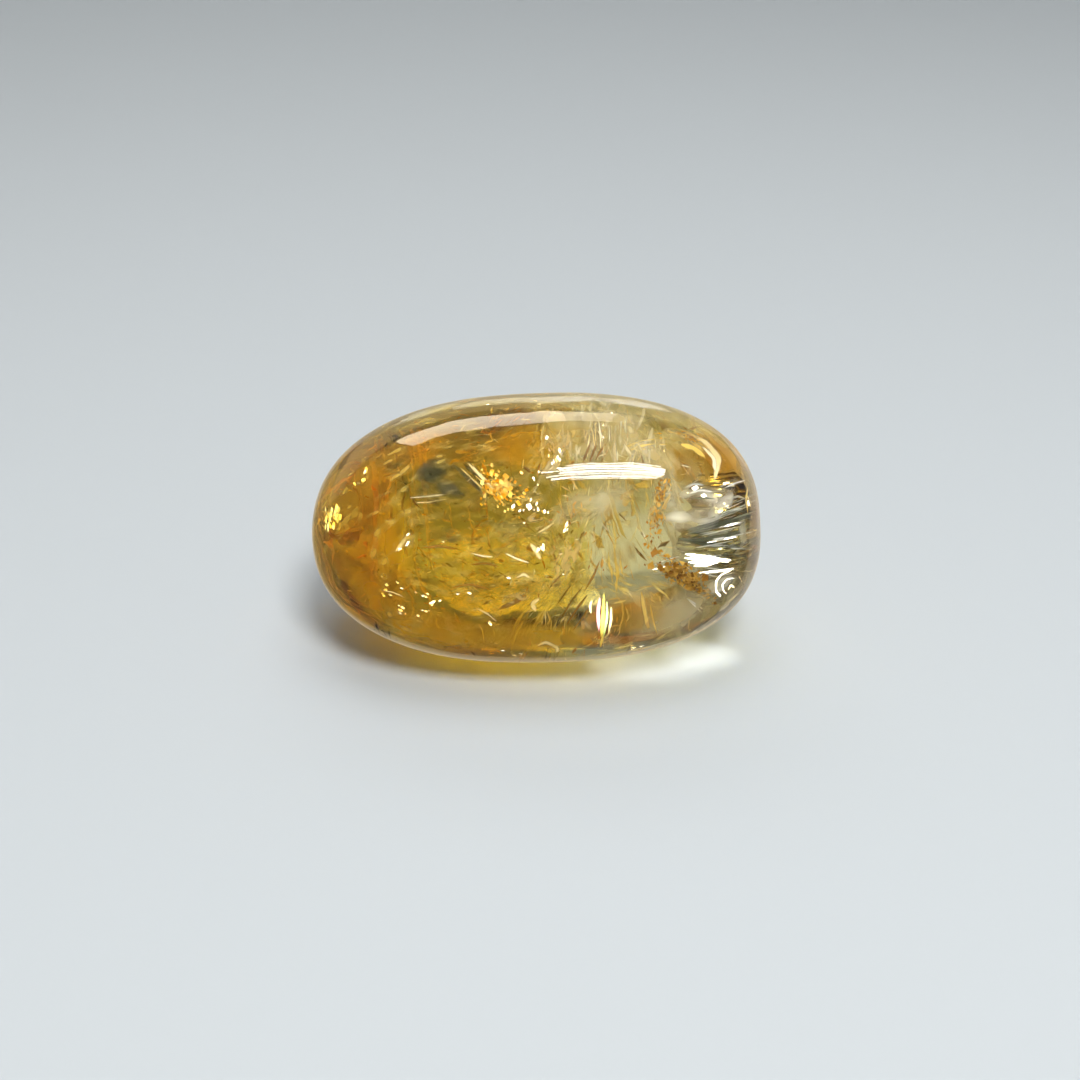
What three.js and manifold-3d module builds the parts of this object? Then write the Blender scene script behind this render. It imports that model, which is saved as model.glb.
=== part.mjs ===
// A tumbled stone: one pebble of clear golden quartz, ground smooth in a tumbler, lying on its broad side.
// Millimetres, +Z up. The origin is on the surface it rests on, under the middle of its outline.
// +X runs along the stone, towards its blunt end, and -Y is the face that looks at the viewer.
import * as THREE from "three";
import { mergeVertices } from "three/addons/utils/BufferGeometryUtils.js";
import Module from "manifold-3d";

// Driving dimensions of the plain rounded block, before its shoulders: half its length, width and height.
const HALF_SIZE = new THREE.Vector3(15.9, 11.5, 8.9);
// How square the rounding is: 2 is an ellipsoid, and larger values fill out the corners.
const SQUARENESS = 2.36;
// The long axis leans this many degrees, blunt end up.
const LEAN = 4;
// How much the tumbler wore off the lowest point, which leaves the small flat spot that the stone rests on.
const FOOT_WEAR = 0.12;
// Each edge of the starting icosahedron is cut into this many pieces.
const EDGE_PIECES = 18;

// Where the stone stands fuller or is worn flatter than the plain block. around and up are the middle of the place
// in degrees, from +X towards +Y and from the level plane. rise is a share of the radius, and spread is in degrees.
const SHOULDERS = [
  { around: -20, up: 38, rise: 0.05, spread: 24 }, // blunt end, upper shoulder
  { around: -25, up: -38, rise: 0.065, spread: 24 }, // blunt end, lower shoulder
  { around: 200, up: 40, rise: -0.025, spread: 26 }, // tapered end, upper slope
  { around: 205, up: -38, rise: -0.029, spread: 24 }, // tapered end, lower slope
  { around: -95, up: 15, rise: -0.012, spread: 34 }, // worn front face
  { around: 62, up: 48, rise: -0.03, spread: 26 }, // worn flat on the back, above
  { around: 118, up: -10, rise: 0.02, spread: 30 }, // full back, towards the tapered end
  { around: 190, up: -68, rise: -0.03, spread: 26 }, // worn underside
];

const STONE_COLOUR = 0xc8962f;
const STONE_ROUGHNESS = 0.05;

// The unit vector that points around and up, both in degrees.
function towards(around, up) {
  const polar = THREE.MathUtils.degToRad(90 - up);
  const azimuth = THREE.MathUtils.degToRad(around);
  return new THREE.Vector3(
    Math.sin(polar) * Math.cos(azimuth),
    Math.sin(polar) * Math.sin(azimuth),
    Math.cos(polar),
  );
}

// The factor on the radius that all shoulders give together, for a place on the unit ball.
function swell(place) {
  return SHOULDERS.reduce((sum, { around, up, rise, spread }) => {
    const away = place.angleTo(towards(around, up)) / THREE.MathUtils.degToRad(spread);
    return sum + rise * Math.exp(-0.5 * away * away);
  }, 1);
}

// The point of the worn surface for a place on the unit ball.
function surfacePoint(place) {
  const norm =
    Math.abs(place.x) ** SQUARENESS + Math.abs(place.y) ** SQUARENESS + Math.abs(place.z) ** SQUARENESS;
  const radius = norm ** (-1 / SQUARENESS) * swell(place);
  return place.clone().multiply(HALF_SIZE).multiplyScalar(radius);
}

// The pebble, with the lowest point of its curve FOOT_WEAR below the origin's level.
function roundedPebble() {
  const geometry = new THREE.IcosahedronGeometry(1, EDGE_PIECES - 1);
  const position = geometry.attributes.position;
  const place = new THREE.Vector3();
  for (let i = 0; i < position.count; i++) {
    place.fromBufferAttribute(position, i).normalize();
    position.setXYZ(i, ...surfacePoint(place));
  }
  geometry.rotateY(THREE.MathUtils.degToRad(-LEAN));
  geometry.computeBoundingBox();
  const { min, max } = geometry.boundingBox;
  geometry.translate(-(min.x + max.x) / 2, -(min.y + max.y) / 2, -min.z - FOOT_WEAR);
  return geometry;
}

// A three.js geometry as a solid that can be cut.
function solidOf(wasm, geometry) {
  const shell = geometry.clone();
  shell.deleteAttribute("normal");
  shell.deleteAttribute("uv");
  const merged = mergeVertices(shell, 1e-4);
  return new wasm.Manifold(
    new wasm.Mesh({
      numProp: 3,
      vertProperties: merged.attributes.position.array,
      triVerts: new Uint32Array(merged.index.array),
    }),
  );
}

// A cut solid as a three.js geometry again.
function geometryOf(solid) {
  const { vertProperties, triVerts } = solid.getMesh();
  const geometry = new THREE.BufferGeometry();
  geometry.setAttribute("position", new THREE.BufferAttribute(vertProperties, 3));
  geometry.setIndex(new THREE.BufferAttribute(triVerts, 1));
  geometry.computeVertexNormals();
  return geometry;
}

// What the tumbler took off below the foot: a block whose top is the plane that the stone rests on.
function wornAwayBlock() {
  const deep = HALF_SIZE.z;
  const block = new THREE.BoxGeometry(2 * HALF_SIZE.x, 2 * HALF_SIZE.y, deep);
  block.translate(0, 0, -deep / 2);
  return block;
}

async function tumbledStone() {
  const wasm = await Module();
  wasm.setup();
  const pebble = solidOf(wasm, roundedPebble());
  const stone = pebble.subtract(solidOf(wasm, wornAwayBlock()));
  const material = new THREE.MeshStandardMaterial({
    color: STONE_COLOUR,
    roughness: STONE_ROUGHNESS,
    metalness: 0,
  });
  const mesh = new THREE.Mesh(geometryOf(stone), material);
  mesh.name = "tumbled_stone";
  return mesh;
}

const part = new THREE.Group();
part.add(await tumbledStone());

export default part;
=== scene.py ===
# %% [markdown]
# # A tumbled stone of golden quartz
#
# The real object is one pebble of clear quartz, 32 mm long, ground smooth in a tumbler. It is golden from
# traces of iron, and it is not even inside: one end holds a cloud of deep amber, the middle is full of fine
# veils, and the blunt end is almost clear, with a fan of open cracks. So most of what the eye sees lies
# under the surface.
#
# The lesson builds it in that order: the stage and its lights, the polished body, the coloured clouds in
# it, and then the veils, flecks, single marks and cracks.

# %% Load the frame
import math

import bmesh
import bpy
import numpy as np
from mathutils import Matrix, Vector, noise
from mathutils.bvhtree import BVHTree


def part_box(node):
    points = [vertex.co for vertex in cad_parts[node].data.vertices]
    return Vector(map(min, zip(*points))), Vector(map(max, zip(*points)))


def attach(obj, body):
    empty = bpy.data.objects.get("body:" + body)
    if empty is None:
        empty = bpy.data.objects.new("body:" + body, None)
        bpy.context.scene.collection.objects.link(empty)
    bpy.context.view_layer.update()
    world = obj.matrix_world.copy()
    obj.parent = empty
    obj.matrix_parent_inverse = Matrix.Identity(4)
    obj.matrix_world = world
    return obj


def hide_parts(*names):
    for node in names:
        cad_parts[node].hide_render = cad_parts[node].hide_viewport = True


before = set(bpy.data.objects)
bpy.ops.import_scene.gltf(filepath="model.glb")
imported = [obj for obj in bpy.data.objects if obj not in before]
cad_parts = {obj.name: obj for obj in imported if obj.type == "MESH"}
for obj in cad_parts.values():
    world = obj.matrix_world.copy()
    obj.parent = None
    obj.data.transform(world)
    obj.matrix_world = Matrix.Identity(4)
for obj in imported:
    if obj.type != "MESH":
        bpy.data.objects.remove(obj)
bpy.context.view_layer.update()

MM = 0.001

# %% [markdown]
# ## The camera
#
# The ellipses of the shadow show how high the camera stands: it looks down by 24 degrees. Its distance and
# lens then follow from the stone's length. Depth of field stays off.

# %% The camera
LOOK_AT = np.array((0.351, 0.0, 7.363)) * MM
CAMERA_DOWN = math.radians(24)
CAMERA_AWAY = 150 * MM
SENSOR = 36.0
LENS = 69.3
PHOTO_SIDE = 1080

FORWARD = np.array((0.0, math.cos(CAMERA_DOWN), -math.sin(CAMERA_DOWN)))
UPWARD = np.array((0.0, math.sin(CAMERA_DOWN), math.cos(CAMERA_DOWN)))
RIGHTWARD = np.array((1.0, 0.0, 0.0))
EYE = LOOK_AT - CAMERA_AWAY * FORWARD

camera = bpy.data.objects.new("camera", bpy.data.cameras.new("camera"))
camera.data.sensor_width = SENSOR
camera.data.lens = LENS
camera.data.clip_start = 1 * MM
camera.data.clip_end = 10.0
camera.location = EYE
camera.rotation_euler = (math.pi / 2 - CAMERA_DOWN, 0, 0)
bpy.context.collection.objects.link(camera)
bpy.context.scene.camera = camera


def sight(px, py):
    """The direction from the camera through a pixel of the picture's 1080 by 1080 frame."""
    per_pixel = SENSOR / LENS / PHOTO_SIDE
    across = (px - PHOTO_SIDE / 2) * per_pixel
    down = (py - PHOTO_SIDE / 2) * per_pixel
    line = FORWARD + across * RIGHTWARD - down * UPWARD
    return line / np.linalg.norm(line)


print("camera at mm:", (EYE / MM).round(1))

# %% [markdown]
# ## Helpers for meshes and materials
#
# Every piece below is a mesh, so that what shows is real shape and not only shading. One helper turns
# points and faces into an object, and another makes it ride on the stone's body. Materials are built from
# nodes, and a piece names its finish, so each material is made once and shared.

# %% Helpers for meshes
def unit(vector):
    vector = np.asarray(vector, float)
    return vector / np.linalg.norm(vector)


def unit_rows(vectors):
    return vectors / np.linalg.norm(vectors, axis=1)[:, None]


def rough(points, size, seed, depth=3):
    """Fractal noise from about -1 to 1 at points in metres, with features of that size in mm."""
    shift = Vector((seed * 17.3, seed * 5.1, seed * 11.7))
    return np.array(
        [
            noise.fractal(Vector(p) / (size * MM) + shift, 0.9, 2.0, depth)
            for p in np.atleast_2d(points)
        ]
    )


def mesh_object(name, points, faces, finish, smooth=True):
    """A mesh object from points in metres and lists of corner numbers, with the material of that name."""
    mesh = bpy.data.meshes.new(name)
    mesh.from_pydata([tuple(p) for p in points], [], [tuple(int(i) for i in f) for f in faces])
    mesh.update()
    mesh.polygons.foreach_set("use_smooth", [smooth] * len(mesh.polygons))
    mesh.materials.append(bpy.data.materials[finish])
    thing = bpy.data.objects.new(name, mesh)
    bpy.context.collection.objects.link(thing)
    return thing


def part_of_stone(thing):
    """Makes the object a piece of the stone, which rides on the stone's body."""
    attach(thing, "root")
    return thing


def carry(piece, label, values):
    """Gives each point of a piece a number, or a vector where values has rows of three."""
    kind, key = ("FLOAT_VECTOR", "vector") if values.ndim == 2 else ("FLOAT", "value")
    piece.data.attributes.new(label, kind, "POINT").data.foreach_set(key, values.ravel())


# %% Helpers for materials
def start_material(name, **sockets):
    """A material with one Principled shader: its nodes, its links and the shader. The keywords are the
    shader's sockets, with _ for a space."""
    material = bpy.data.materials.new(name)
    material.use_nodes = True
    nodes = material.node_tree.nodes
    shader = nodes["Principled BSDF"]
    for socket, value in sockets.items():
        shader.inputs[socket.replace("_", " ")].default_value = value
    return nodes, material.node_tree.links, shader


def add_node(nodes, kind, **settings):
    """A node of that kind. Keywords that name a socket set its value, and the others set its own options."""
    node = nodes.new(kind)
    for key, value in settings.items():
        socket = node.inputs.get(key.replace("_", " "))
        if socket is not None:
            socket.default_value = value
        else:
            setattr(node, key, value)
    return node


# %% [markdown]
# ## The stage
#
# The stone lies on a pale surface that curves up behind it without an edge. A round dish, flat in the
# middle and turned up all round, does the same for every side that the stone is looked at from. The polish
# doesn't mirror the dish: lamps that are made for it, further down, give the stone's edges what they
# mirror.

# %% The stage
FLOOR_RADIUS = 0.42
FLOOR_GAP = 0.02 * MM
BEND_RADIUS = 0.16
WALL_TOP = 0.34
RIM_STEPS = 96


def dish_profile():
    """Radius and height from the centre of the flat floor, up the bend, to the top of the wall."""
    flat = [(r, 0.0) for r in np.linspace(0.0, FLOOR_RADIUS, 8)[1:]]
    turns = np.linspace(0, math.pi / 2, 17)[1:]
    bend = [
        (FLOOR_RADIUS + BEND_RADIUS * math.sin(t), BEND_RADIUS * (1 - math.cos(t))) for t in turns
    ]
    return flat + bend + [(FLOOR_RADIUS + BEND_RADIUS, WALL_TOP)]


def pale_paper():
    """Matt, cool white paper, with a grain too fine to see from a step away."""
    nodes, links, shader = start_material(
        "pale_paper", Base_Color=(0.60, 0.635, 0.65, 1), Roughness=0.9, Specular_IOR_Level=0.15
    )
    grain = add_node(nodes, "ShaderNodeTexNoise", Scale=3500.0, Detail=2.0)
    place = add_node(nodes, "ShaderNodeTexCoord")
    bump = add_node(nodes, "ShaderNodeBump", Strength=0.08, Distance=0.00005)
    links.new(place.outputs["Object"], grain.inputs["Vector"])
    links.new(grain.outputs["Fac"], bump.inputs["Height"])
    links.new(bump.outputs["Normal"], shader.inputs["Normal"])


def round_dish():
    """The dish as rings of quads about a fan of triangles."""
    rings = dish_profile()
    turns = np.linspace(0, 2 * math.pi, RIM_STEPS, endpoint=False)
    points = [(0.0, 0.0, 0.0)]
    points += [(r * math.cos(t), r * math.sin(t), z) for r, z in rings for t in turns]
    faces = [(0, 1 + i, 1 + (i + 1) % RIM_STEPS) for i in range(RIM_STEPS)]
    for ring in range(len(rings) - 1):
        low, high = 1 + ring * RIM_STEPS, 1 + (ring + 1) * RIM_STEPS
        for i in range(RIM_STEPS):
            j = (i + 1) % RIM_STEPS
            faces.append((low + i, high + i, high + j, low + j))
    return mesh_object("backdrop", points, faces, "pale_paper")


pale_paper()
backdrop = round_dish()
backdrop.location.z = -FLOOR_GAP
backdrop.visible_glossy = False
print("backdrop faces:", len(backdrop.data.polygons))

# %% [markdown]
# ## The lights
#
# A polished, clear stone needs its lights apart: some to be mirrored in the skin, some to cast the shadow
# and some to light the inside. So each lamp says what it acts on. First a helper for any lamp, and one for
# a soft panel.

# %% A lamp
AIM = np.array((0, 0, 0.009))
WHITE = (1.0, 1.0, 1.0)
MATT = ("diffuse",)
POLISH = ("glossy",)
INSIDE = ("transmission",)


def hang(lamp, centre, back, seen_by):
    """Hangs a lamp at centre, its width level. back is the direction away from what it lights, and seen_by
    names what it acts on: matt surfaces, mirror images on the polish, or the inside of the stone."""
    holder = bpy.data.objects.new(lamp.name, lamp)
    holder.location = centre
    side = unit(RIGHTWARD - np.dot(RIGHTWARD, back) * back)
    turned = np.stack((side, np.cross(back, side), back), 1)
    holder.rotation_euler = Matrix(turned.tolist()).to_euler()
    for kind in (*MATT, *POLISH, *INSIDE):
        setattr(holder, f"visible_{kind}", kind in seen_by)
    bpy.context.collection.objects.link(holder)
    return holder


def soft_light(name, centre, width, depth, watts, colour, seen_by):
    """A rectangular lamp at centre that faces the stone."""
    lamp = bpy.data.lights.new(name, "AREA")
    lamp.shape = "RECTANGLE"
    lamp.size = width
    lamp.size_y = depth
    lamp.energy = watts
    lamp.color = colour
    return hang(lamp, centre, unit(np.array(centre) - AIM), seen_by)


def mirrored_panel(name, centre, width, depth, brightness, colour=WHITE):
    """A panel that only the polish mirrors, with the brightness that its mirror image shows."""
    return soft_light(name, centre, width, depth, brightness * math.pi * width * depth, colour, POLISH)


# %% [markdown]
# ## Lamps that only the polish mirrors
#
# The two bright bands on the stone are mirror images of its lights. Turning the line of sight about the
# surface's normal there says where each light is: a bright strip almost straight overhead, which seven
# tubes of uneven width and brightness make, and a long dim one low behind on the left. Four wide, faint
# cards behind and below stand in for the pale surface that the stone's edges mirror. Their colours run from
# amber to cream, as the edges of the stone do.

# %% Lamps that only the polish mirrors
TUBE_HEIGHT = 0.40
OVERHEAD_TUBES = (
    # how far back, width, left end and right end in metres, brightness
    (-0.062, 0.007, -0.001, 0.164, 19),
    (-0.045, 0.014, -0.036, 0.189, 27),
    (-0.024, 0.010, -0.046, 0.196, 19),
    (-0.006, 0.015, -0.026, 0.200, 30),
    (0.014, 0.010, -0.051, 0.198, 23),
    (0.033, 0.015, -0.031, 0.192, 30),
    (0.054, 0.009, -0.016, 0.179, 17),
)
for tube, (back, width, left, right, brightness) in enumerate(OVERHEAD_TUBES):
    centre = ((left + right) / 2, back, TUBE_HEIGHT)
    mirrored_panel(f"overhead_tube_{tube}", centre, right - left, width, brightness)
STRIP_BACK, STRIP_UP, STRIP_HEIGHT = 0.44, 0.235, 0.10
STRIP_TILT = math.radians(-63)
REAR_STRIPS = (
    # left end and right end in metres, brightness
    (-0.200, -0.010, 3.3),
    (-0.010, 0.045, 1.7),
    (0.045, 0.090, 0.5),
)
for strip, (left, right, brightness) in enumerate(REAR_STRIPS):
    centre = ((left + right) / 2, STRIP_BACK, STRIP_UP)
    lamp = mirrored_panel(
        f"rear_strip_{strip}", centre, right - left, STRIP_HEIGHT, brightness, (1.0, 0.88, 0.70)
    )
    lamp.rotation_euler = (STRIP_TILT, 0, 0)
RIM_CARDS = (
    # middle, width and height in metres, brightness, colour
    ((-0.52, 0.55, -0.32), 0.50, 0.80, 0.45, (1.0, 0.66, 0.06)),
    ((-0.02, 0.55, -0.32), 0.50, 0.80, 0.50, (1.0, 0.80, 0.46)),
    ((0.48, 0.55, -0.32), 0.50, 0.80, 0.62, (1.0, 0.93, 0.80)),
    ((0.00, 0.60, 0.115), 1.30, 0.18, 0.50, (1.0, 0.76, 0.36)),
)
for card, row in enumerate(RIM_CARDS):
    mirrored_panel(f"rim_card_{card}", *row)
print("mirrored lamps:", len(OVERHEAD_TUBES) + len(REAR_STRIPS) + len(RIM_CARDS))

# %% [markdown]
# ## Lamps for the shadow and the inside
#
# The shadow asks for a soft light in front, about 50 degrees up. A wide wash from behind and a panel
# overhead keep the far floor bright. Big dim panels light the inside, where a small lamp would show as a
# hard shape. One of them, behind on the left, shines through the stone, so that the shadow in front glows
# yellow.

# %% Lamps for the shadow and the inside
FRONT = np.array((0.02, -0.42, 0.36))
LAMPS = (
    # name, middle, width and depth in metres, watts, colour, what it lights
    ("front_soft", (0.08, -0.30, 0.38), 0.13, 0.13, 1.85, WHITE, MATT),
    ("back_wash", (-0.05, 0.42, 0.40), 0.50, 0.20, 0.42, WHITE, MATT),
    ("gathered", (-0.232, 0.182, 0.387), 0.13, 0.13, 1.6, (0.85, 0.97, 1.5), INSIDE),
    ("overhead_soft", (0.01, 0.02, 0.30), 0.20, 0.17, 0.28, WHITE, MATT),
    ("overhead_fill", (0.03, -0.03, 0.42), 0.30, 0.24, 1.5, WHITE, INSIDE),
    ("front_fill", FRONT, 0.5, 0.3, 3.3, WHITE, INSIDE),
    ("left_fill", (-0.34, -0.06, 0.20), 0.90, 0.40, 1.2, WHITE, INSIDE),
)
for row in LAMPS:
    soft_light(*row)
print("lamps for the shadow and the inside:", len(LAMPS))

# %% [markdown]
# ## The bright spot on the floor
#
# The clear end of the stone works as a lens and gathers light into a small bright spot at its foot. A path
# tracer finds such a spot only by chance, so it stays dim and noisy. Two narrow beams from low in front,
# which light nothing but matt surfaces, put the missing light there. Each is a spot lamp whose cone fades
# all the way to its edge. Scaling the lamp in one direction makes the cone an oval.

# %% The bright spot on the floor
BEAM_LINE = unit((0.24, -0.92, 0.30))
BEAM_AWAY = 0.30
BEAMS = (
    # pixel on the floor, how wide and high the beam is in mm, watts
    ((700, 655), 6.6, 1.7, 7.0),
    ((650, 668), 10.5, 1.7, 5.0),
)


def floor_at(px, py):
    """The place on the floor that shows at a pixel."""
    line = sight(px, py)
    return EYE - line * EYE[2] / line[2]


for number, (pixel, width, height, watts) in enumerate(BEAMS):
    lamp = bpy.data.lights.new(f"beam_{number}", "SPOT")
    lamp.spot_size = 2 * math.atan(width / 2 * MM / BEAM_AWAY)
    lamp.spot_blend = 1.0
    lamp.shadow_soft_size = 0.2 * MM
    lamp.energy = watts
    lamp.color = (0.97, 1.0, 1.03)
    holder = hang(lamp, floor_at(*pixel) + BEAM_AWAY * BEAM_LINE, BEAM_LINE, MATT)
    holder.scale = (1.0, height / width, 1.0)
    holder.visible_camera = False
print("beams:", len(BEAMS))

# %% [markdown]
# ## The room
#
# A plain, cool, dim world stands for the rest of the room. Light crosses many surfaces inside the stone, so
# the paths may be longer than usual.

# %% The room
world = bpy.data.worlds.new("pale_room")
bpy.context.scene.world = world
world.use_nodes = True
background = world.node_tree.nodes["Background"]
background.inputs["Color"].default_value = (0.93, 0.97, 1.0, 1)
background.inputs["Strength"].default_value = 0.175
bpy.context.scene.view_settings.view_transform = "Standard"

paths = bpy.context.scene.cycles
paths.max_bounces = 10
paths.diffuse_bounces = 2
paths.transmission_bounces = 10
paths.glossy_bounces = 6
paths.transparent_max_bounces = 20
print("longest path:", paths.max_bounces, "bounces")

# %% [markdown]
# ## The polished body
#
# A tumbler rounds a broken piece of quartz into a block with soft shoulders. The same few numbers that
# shape the solid shape this mesh: a squarish ellipsoid, worn or fuller at eight places, that leans by 4
# degrees. An icosphere has even triangles everywhere, so it bends light cleanly, without the pinched poles
# of a globe. The foot is pressed flat.

# %% The shape of the body
HALF_SIZE = np.array((15.9, 11.5, 8.9)) * MM
SQUARENESS = 2.36
LEAN = math.radians(4)
FOOT_WEAR = 0.12 * MM
SHOULDERS = (
    # degrees round from +X, degrees up, rise as a share of the radius, spread in degrees
    (-20, 38, 0.05, 24),
    (-25, -38, 0.065, 24),
    (200, 40, -0.025, 26),
    (205, -38, -0.029, 24),
    (-95, 15, -0.012, 34),
    (62, 48, -0.03, 26),
    (118, -10, 0.02, 30),
    (190, -68, -0.03, 26),
)


def towards(around, up):
    """The unit vector at those degrees round and up."""
    around, up = math.radians(around), math.radians(up)
    return np.array((math.cos(up) * math.cos(around), math.cos(up) * math.sin(around), math.sin(up)))


def block_radius(ball):
    """How far out the block reaches along points of the unit ball, as a share of HALF_SIZE."""
    swell = np.ones(len(ball))
    for around, up, rise, spread in SHOULDERS:
        away = np.arccos(np.clip(ball @ towards(around, up), -1, 1)) / math.radians(spread)
        swell += rise * np.exp(-0.5 * away**2)
    return (np.abs(ball) ** SQUARENESS).sum(1) ** (-1 / SQUARENESS) * swell


def leaned(points, angle):
    """Points turned in the upright plane along the stone, blunt end up."""
    c, s = math.cos(angle), math.sin(angle)
    x, y, z = points.T
    return np.stack((c * x - s * z, y, s * x + c * z), 1)


def worn_block(ball):
    """The leaning, shouldered surface, before it is set down, for points on the unit ball."""
    return leaned(ball * HALF_SIZE * block_radius(ball)[:, None], LEAN)


def even_ball(cuts):
    """Points on the unit ball, and triangles, of an icosphere."""
    ball = bmesh.new()
    bmesh.ops.create_icosphere(ball, subdivisions=cuts, radius=1.0)
    points = np.array([v.co for v in ball.verts], float)
    faces = [[v.index for v in f.verts] for f in ball.faces]
    ball.free()
    return unit_rows(points), faces


FINE_BALL, FINE_FACES = even_ball(7)
block = worn_block(FINE_BALL)
middle = (block.min(0) + block.max(0)) / 2
SET_DOWN = np.array((middle[0], middle[1], block[:, 2].min() + FOOT_WEAR))


def stone_points(ball, scale=1.0):
    """The stone's surface where it stands. A scale below 1 gives a skin that lies evenly inside it."""
    return worn_block(ball) * scale - SET_DOWN


print("the block is set down by mm:", (SET_DOWN / MM).round(3))

# %% [markdown]
# ## The polish
#
# Polishing leaves a faint undulation that the eye notices only where a highlight bends. Real displacement
# of a hundredth of a millimetre gives it. Then the mesh is stretched by a hair, so that its box is exactly
# the solid's. The quartz itself is clear glass with its true IOR, and a pale yellow that deepens with the
# way through it.

# %% The polish
WAVE = 0.012 * MM
WAVE_LENGTH = 3.0
HEART = np.array((0, 0, 8.5)) * MM
QUARTZ_IOR = 1.544

body_points = stone_points(FINE_BALL)
dent = 1 + rough(body_points, WAVE_LENGTH, 3)
body_points -= unit_rows(body_points - HEART) * WAVE * dent[:, None]
body_points[:, 2] = np.maximum(body_points[:, 2], 0)
low, high = body_points.min(0), body_points.max(0)
cad_low, cad_high = (np.array(corner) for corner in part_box("tumbled_stone"))
body_points = cad_low + (body_points - low) / (high - low) * (cad_high - cad_low)
print("body in mm:", ((high - low) / MM).round(3), "solid in mm:", ((cad_high - cad_low) / MM).round(3))


def clear_quartz():
    """Polished quartz with a pale yellow body colour."""
    nodes, links, shader = start_material(
        "clear_quartz",
        Base_Color=(1, 1, 1, 1),
        Roughness=0.0,
        IOR=QUARTZ_IOR,
        Specular_IOR_Level=0.3,
        Transmission_Weight=1.0,
    )
    depth = add_node(nodes, "ShaderNodeVolumeAbsorption", Color=(0.94, 0.85, 0.34, 1), Density=75.0)
    links.new(depth.outputs["Volume"], nodes["Material Output"].inputs["Volume"])


clear_quartz()
body = part_of_stone(mesh_object("polished_body", body_points, FINE_FACES, "clear_quartz"))
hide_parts("tumbled_stone")
print("body triangles:", len(body.data.polygons))

# %% [markdown]
# ## Finding a place inside the stone
#
# Most of what makes this stone itself lies under the polish: clouds, veils, flecks, needles and cracks.
# Light bends as it enters, so a place inside doesn't lie straight behind the pixel where it shows. One
# helper follows the bent line of sight, another says how a flake has to face to mirror a lamp, and a third
# tells how far out a point is, so that nothing pokes through the skin.

# %% Finding a place inside the stone
BODY_TREE = BVHTree.FromPolygons([Vector(p) for p in body_points], FINE_FACES)
INWARD_STEP = 0.01
MIRROR_ROUNDS = 5


def bend_in(line, normal):
    """The direction of a line of sight after it enters the quartz."""
    normal = normal if np.dot(line, normal) < 0 else -normal
    cos_out = -np.dot(line, normal)
    cos_in = math.sqrt(1 - (1 - cos_out**2) / QUARTZ_IOR**2)
    return line / QUARTZ_IOR + (cos_out / QUARTZ_IOR - cos_in) * normal


def inside(px, py, depth):
    """The place depth mm behind the skin that shows at a pixel, and the direction of sight there. A pixel
    beside the stone moves towards the middle until it meets the skin."""
    hit = None
    while hit is None:
        line = sight(px, py)
        hit, normal, _, _ = BODY_TREE.ray_cast(Vector(EYE), Vector(line))
        px += INWARD_STEP * (PHOTO_SIDE / 2 - px)
        py += INWARD_STEP * (PHOTO_SIDE / 2 - py)
    inward = bend_in(line, np.array(normal))
    return np.array(hit) + depth * MM * inward, inward


def facing_lamp(px, py, depth, lamp):
    """How a mirror at a place inside has to face so that the viewer sees the lamp in it."""
    place, inward = inside(px, py, depth)
    line = unit(lamp - place)
    for _ in range(MIRROR_ROUNDS):
        hit, normal, _, _ = BODY_TREE.ray_cast(Vector(place), Vector(line))
        line = -bend_in(-unit(lamp - np.array(hit)), np.array(normal))
    return unit(line - inward)


def share_out(points):
    """How far out from the stone's middle each point lies: 0 in the middle and 1 on the skin."""
    upright = leaned(np.atleast_2d(points) + SET_DOWN, -LEAN) / HALF_SIZE
    reach = np.linalg.norm(upright, axis=1)
    return reach / block_radius(upright / np.maximum(reach, 1e-9)[:, None])


print("place behind the middle of the picture:", (inside(540, 540, 8)[0] / MM).round(2), "mm")

# %% [markdown]
# ## Amber clouds
#
# The iron that colours the stone sits in clouds. Each one is a closed, uneven shape inside the body that
# bends no light, with an IOR of 1, and only takes away blue and some green. Where two clouds overlap, both
# act, so the colour deepens by itself where the stone is thick. A cloud grows from its centre in every
# direction until it meets its own uneven edge or the skin, which a search by halves finds.

# %% Amber clouds
CLOUD_BALL, CLOUD_FACES = even_ball(6)
SKIN = 0.988
HALVINGS = 18
ABOVE_FLOOR = 0.05 * MM


def cloud_material(name, colour, density):
    """A shape that only absorbs. colour is what it lets through, and density how fast it takes the rest."""
    nodes, links, shader = start_material(
        name, Base_Color=(1, 1, 1, 1), Roughness=0.0, IOR=1.0, Transmission_Weight=1.0
    )
    depth = add_node(nodes, "ShaderNodeVolumeAbsorption", Color=(*colour, 1), Density=density)
    links.new(depth.outputs["Volume"], nodes["Material Output"].inputs["Volume"])


def cloud(name, centre, half_size, finish, uneven, grain, seed):
    """A closed cloud round a centre, all in mm."""
    centre = np.array(centre) * MM
    half = np.array(half_size) * MM
    reach = 1 / np.linalg.norm(CLOUD_BALL / half, axis=1)
    reach *= 1 + uneven * rough(CLOUD_BALL * half, grain, seed)
    near, far = np.zeros(len(reach)), reach.copy()
    outside = share_out(centre + CLOUD_BALL * far[:, None]) > SKIN
    for _ in range(HALVINGS):
        middle = (near + far) / 2
        out = share_out(centre + CLOUD_BALL * middle[:, None]) > SKIN
        far = np.where(outside & out, middle, far)
        near = np.where(outside & ~out, middle, near)
    points = centre + CLOUD_BALL * np.where(outside, near, reach)[:, None]
    points[:, 2] = np.maximum(points[:, 2], ABOVE_FLOOR)
    print(f"{name}: {int(outside.sum() / len(reach) * 100)} % of it lies along the skin")
    return part_of_stone(mesh_object(name, points, CLOUD_FACES, finish))


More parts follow.
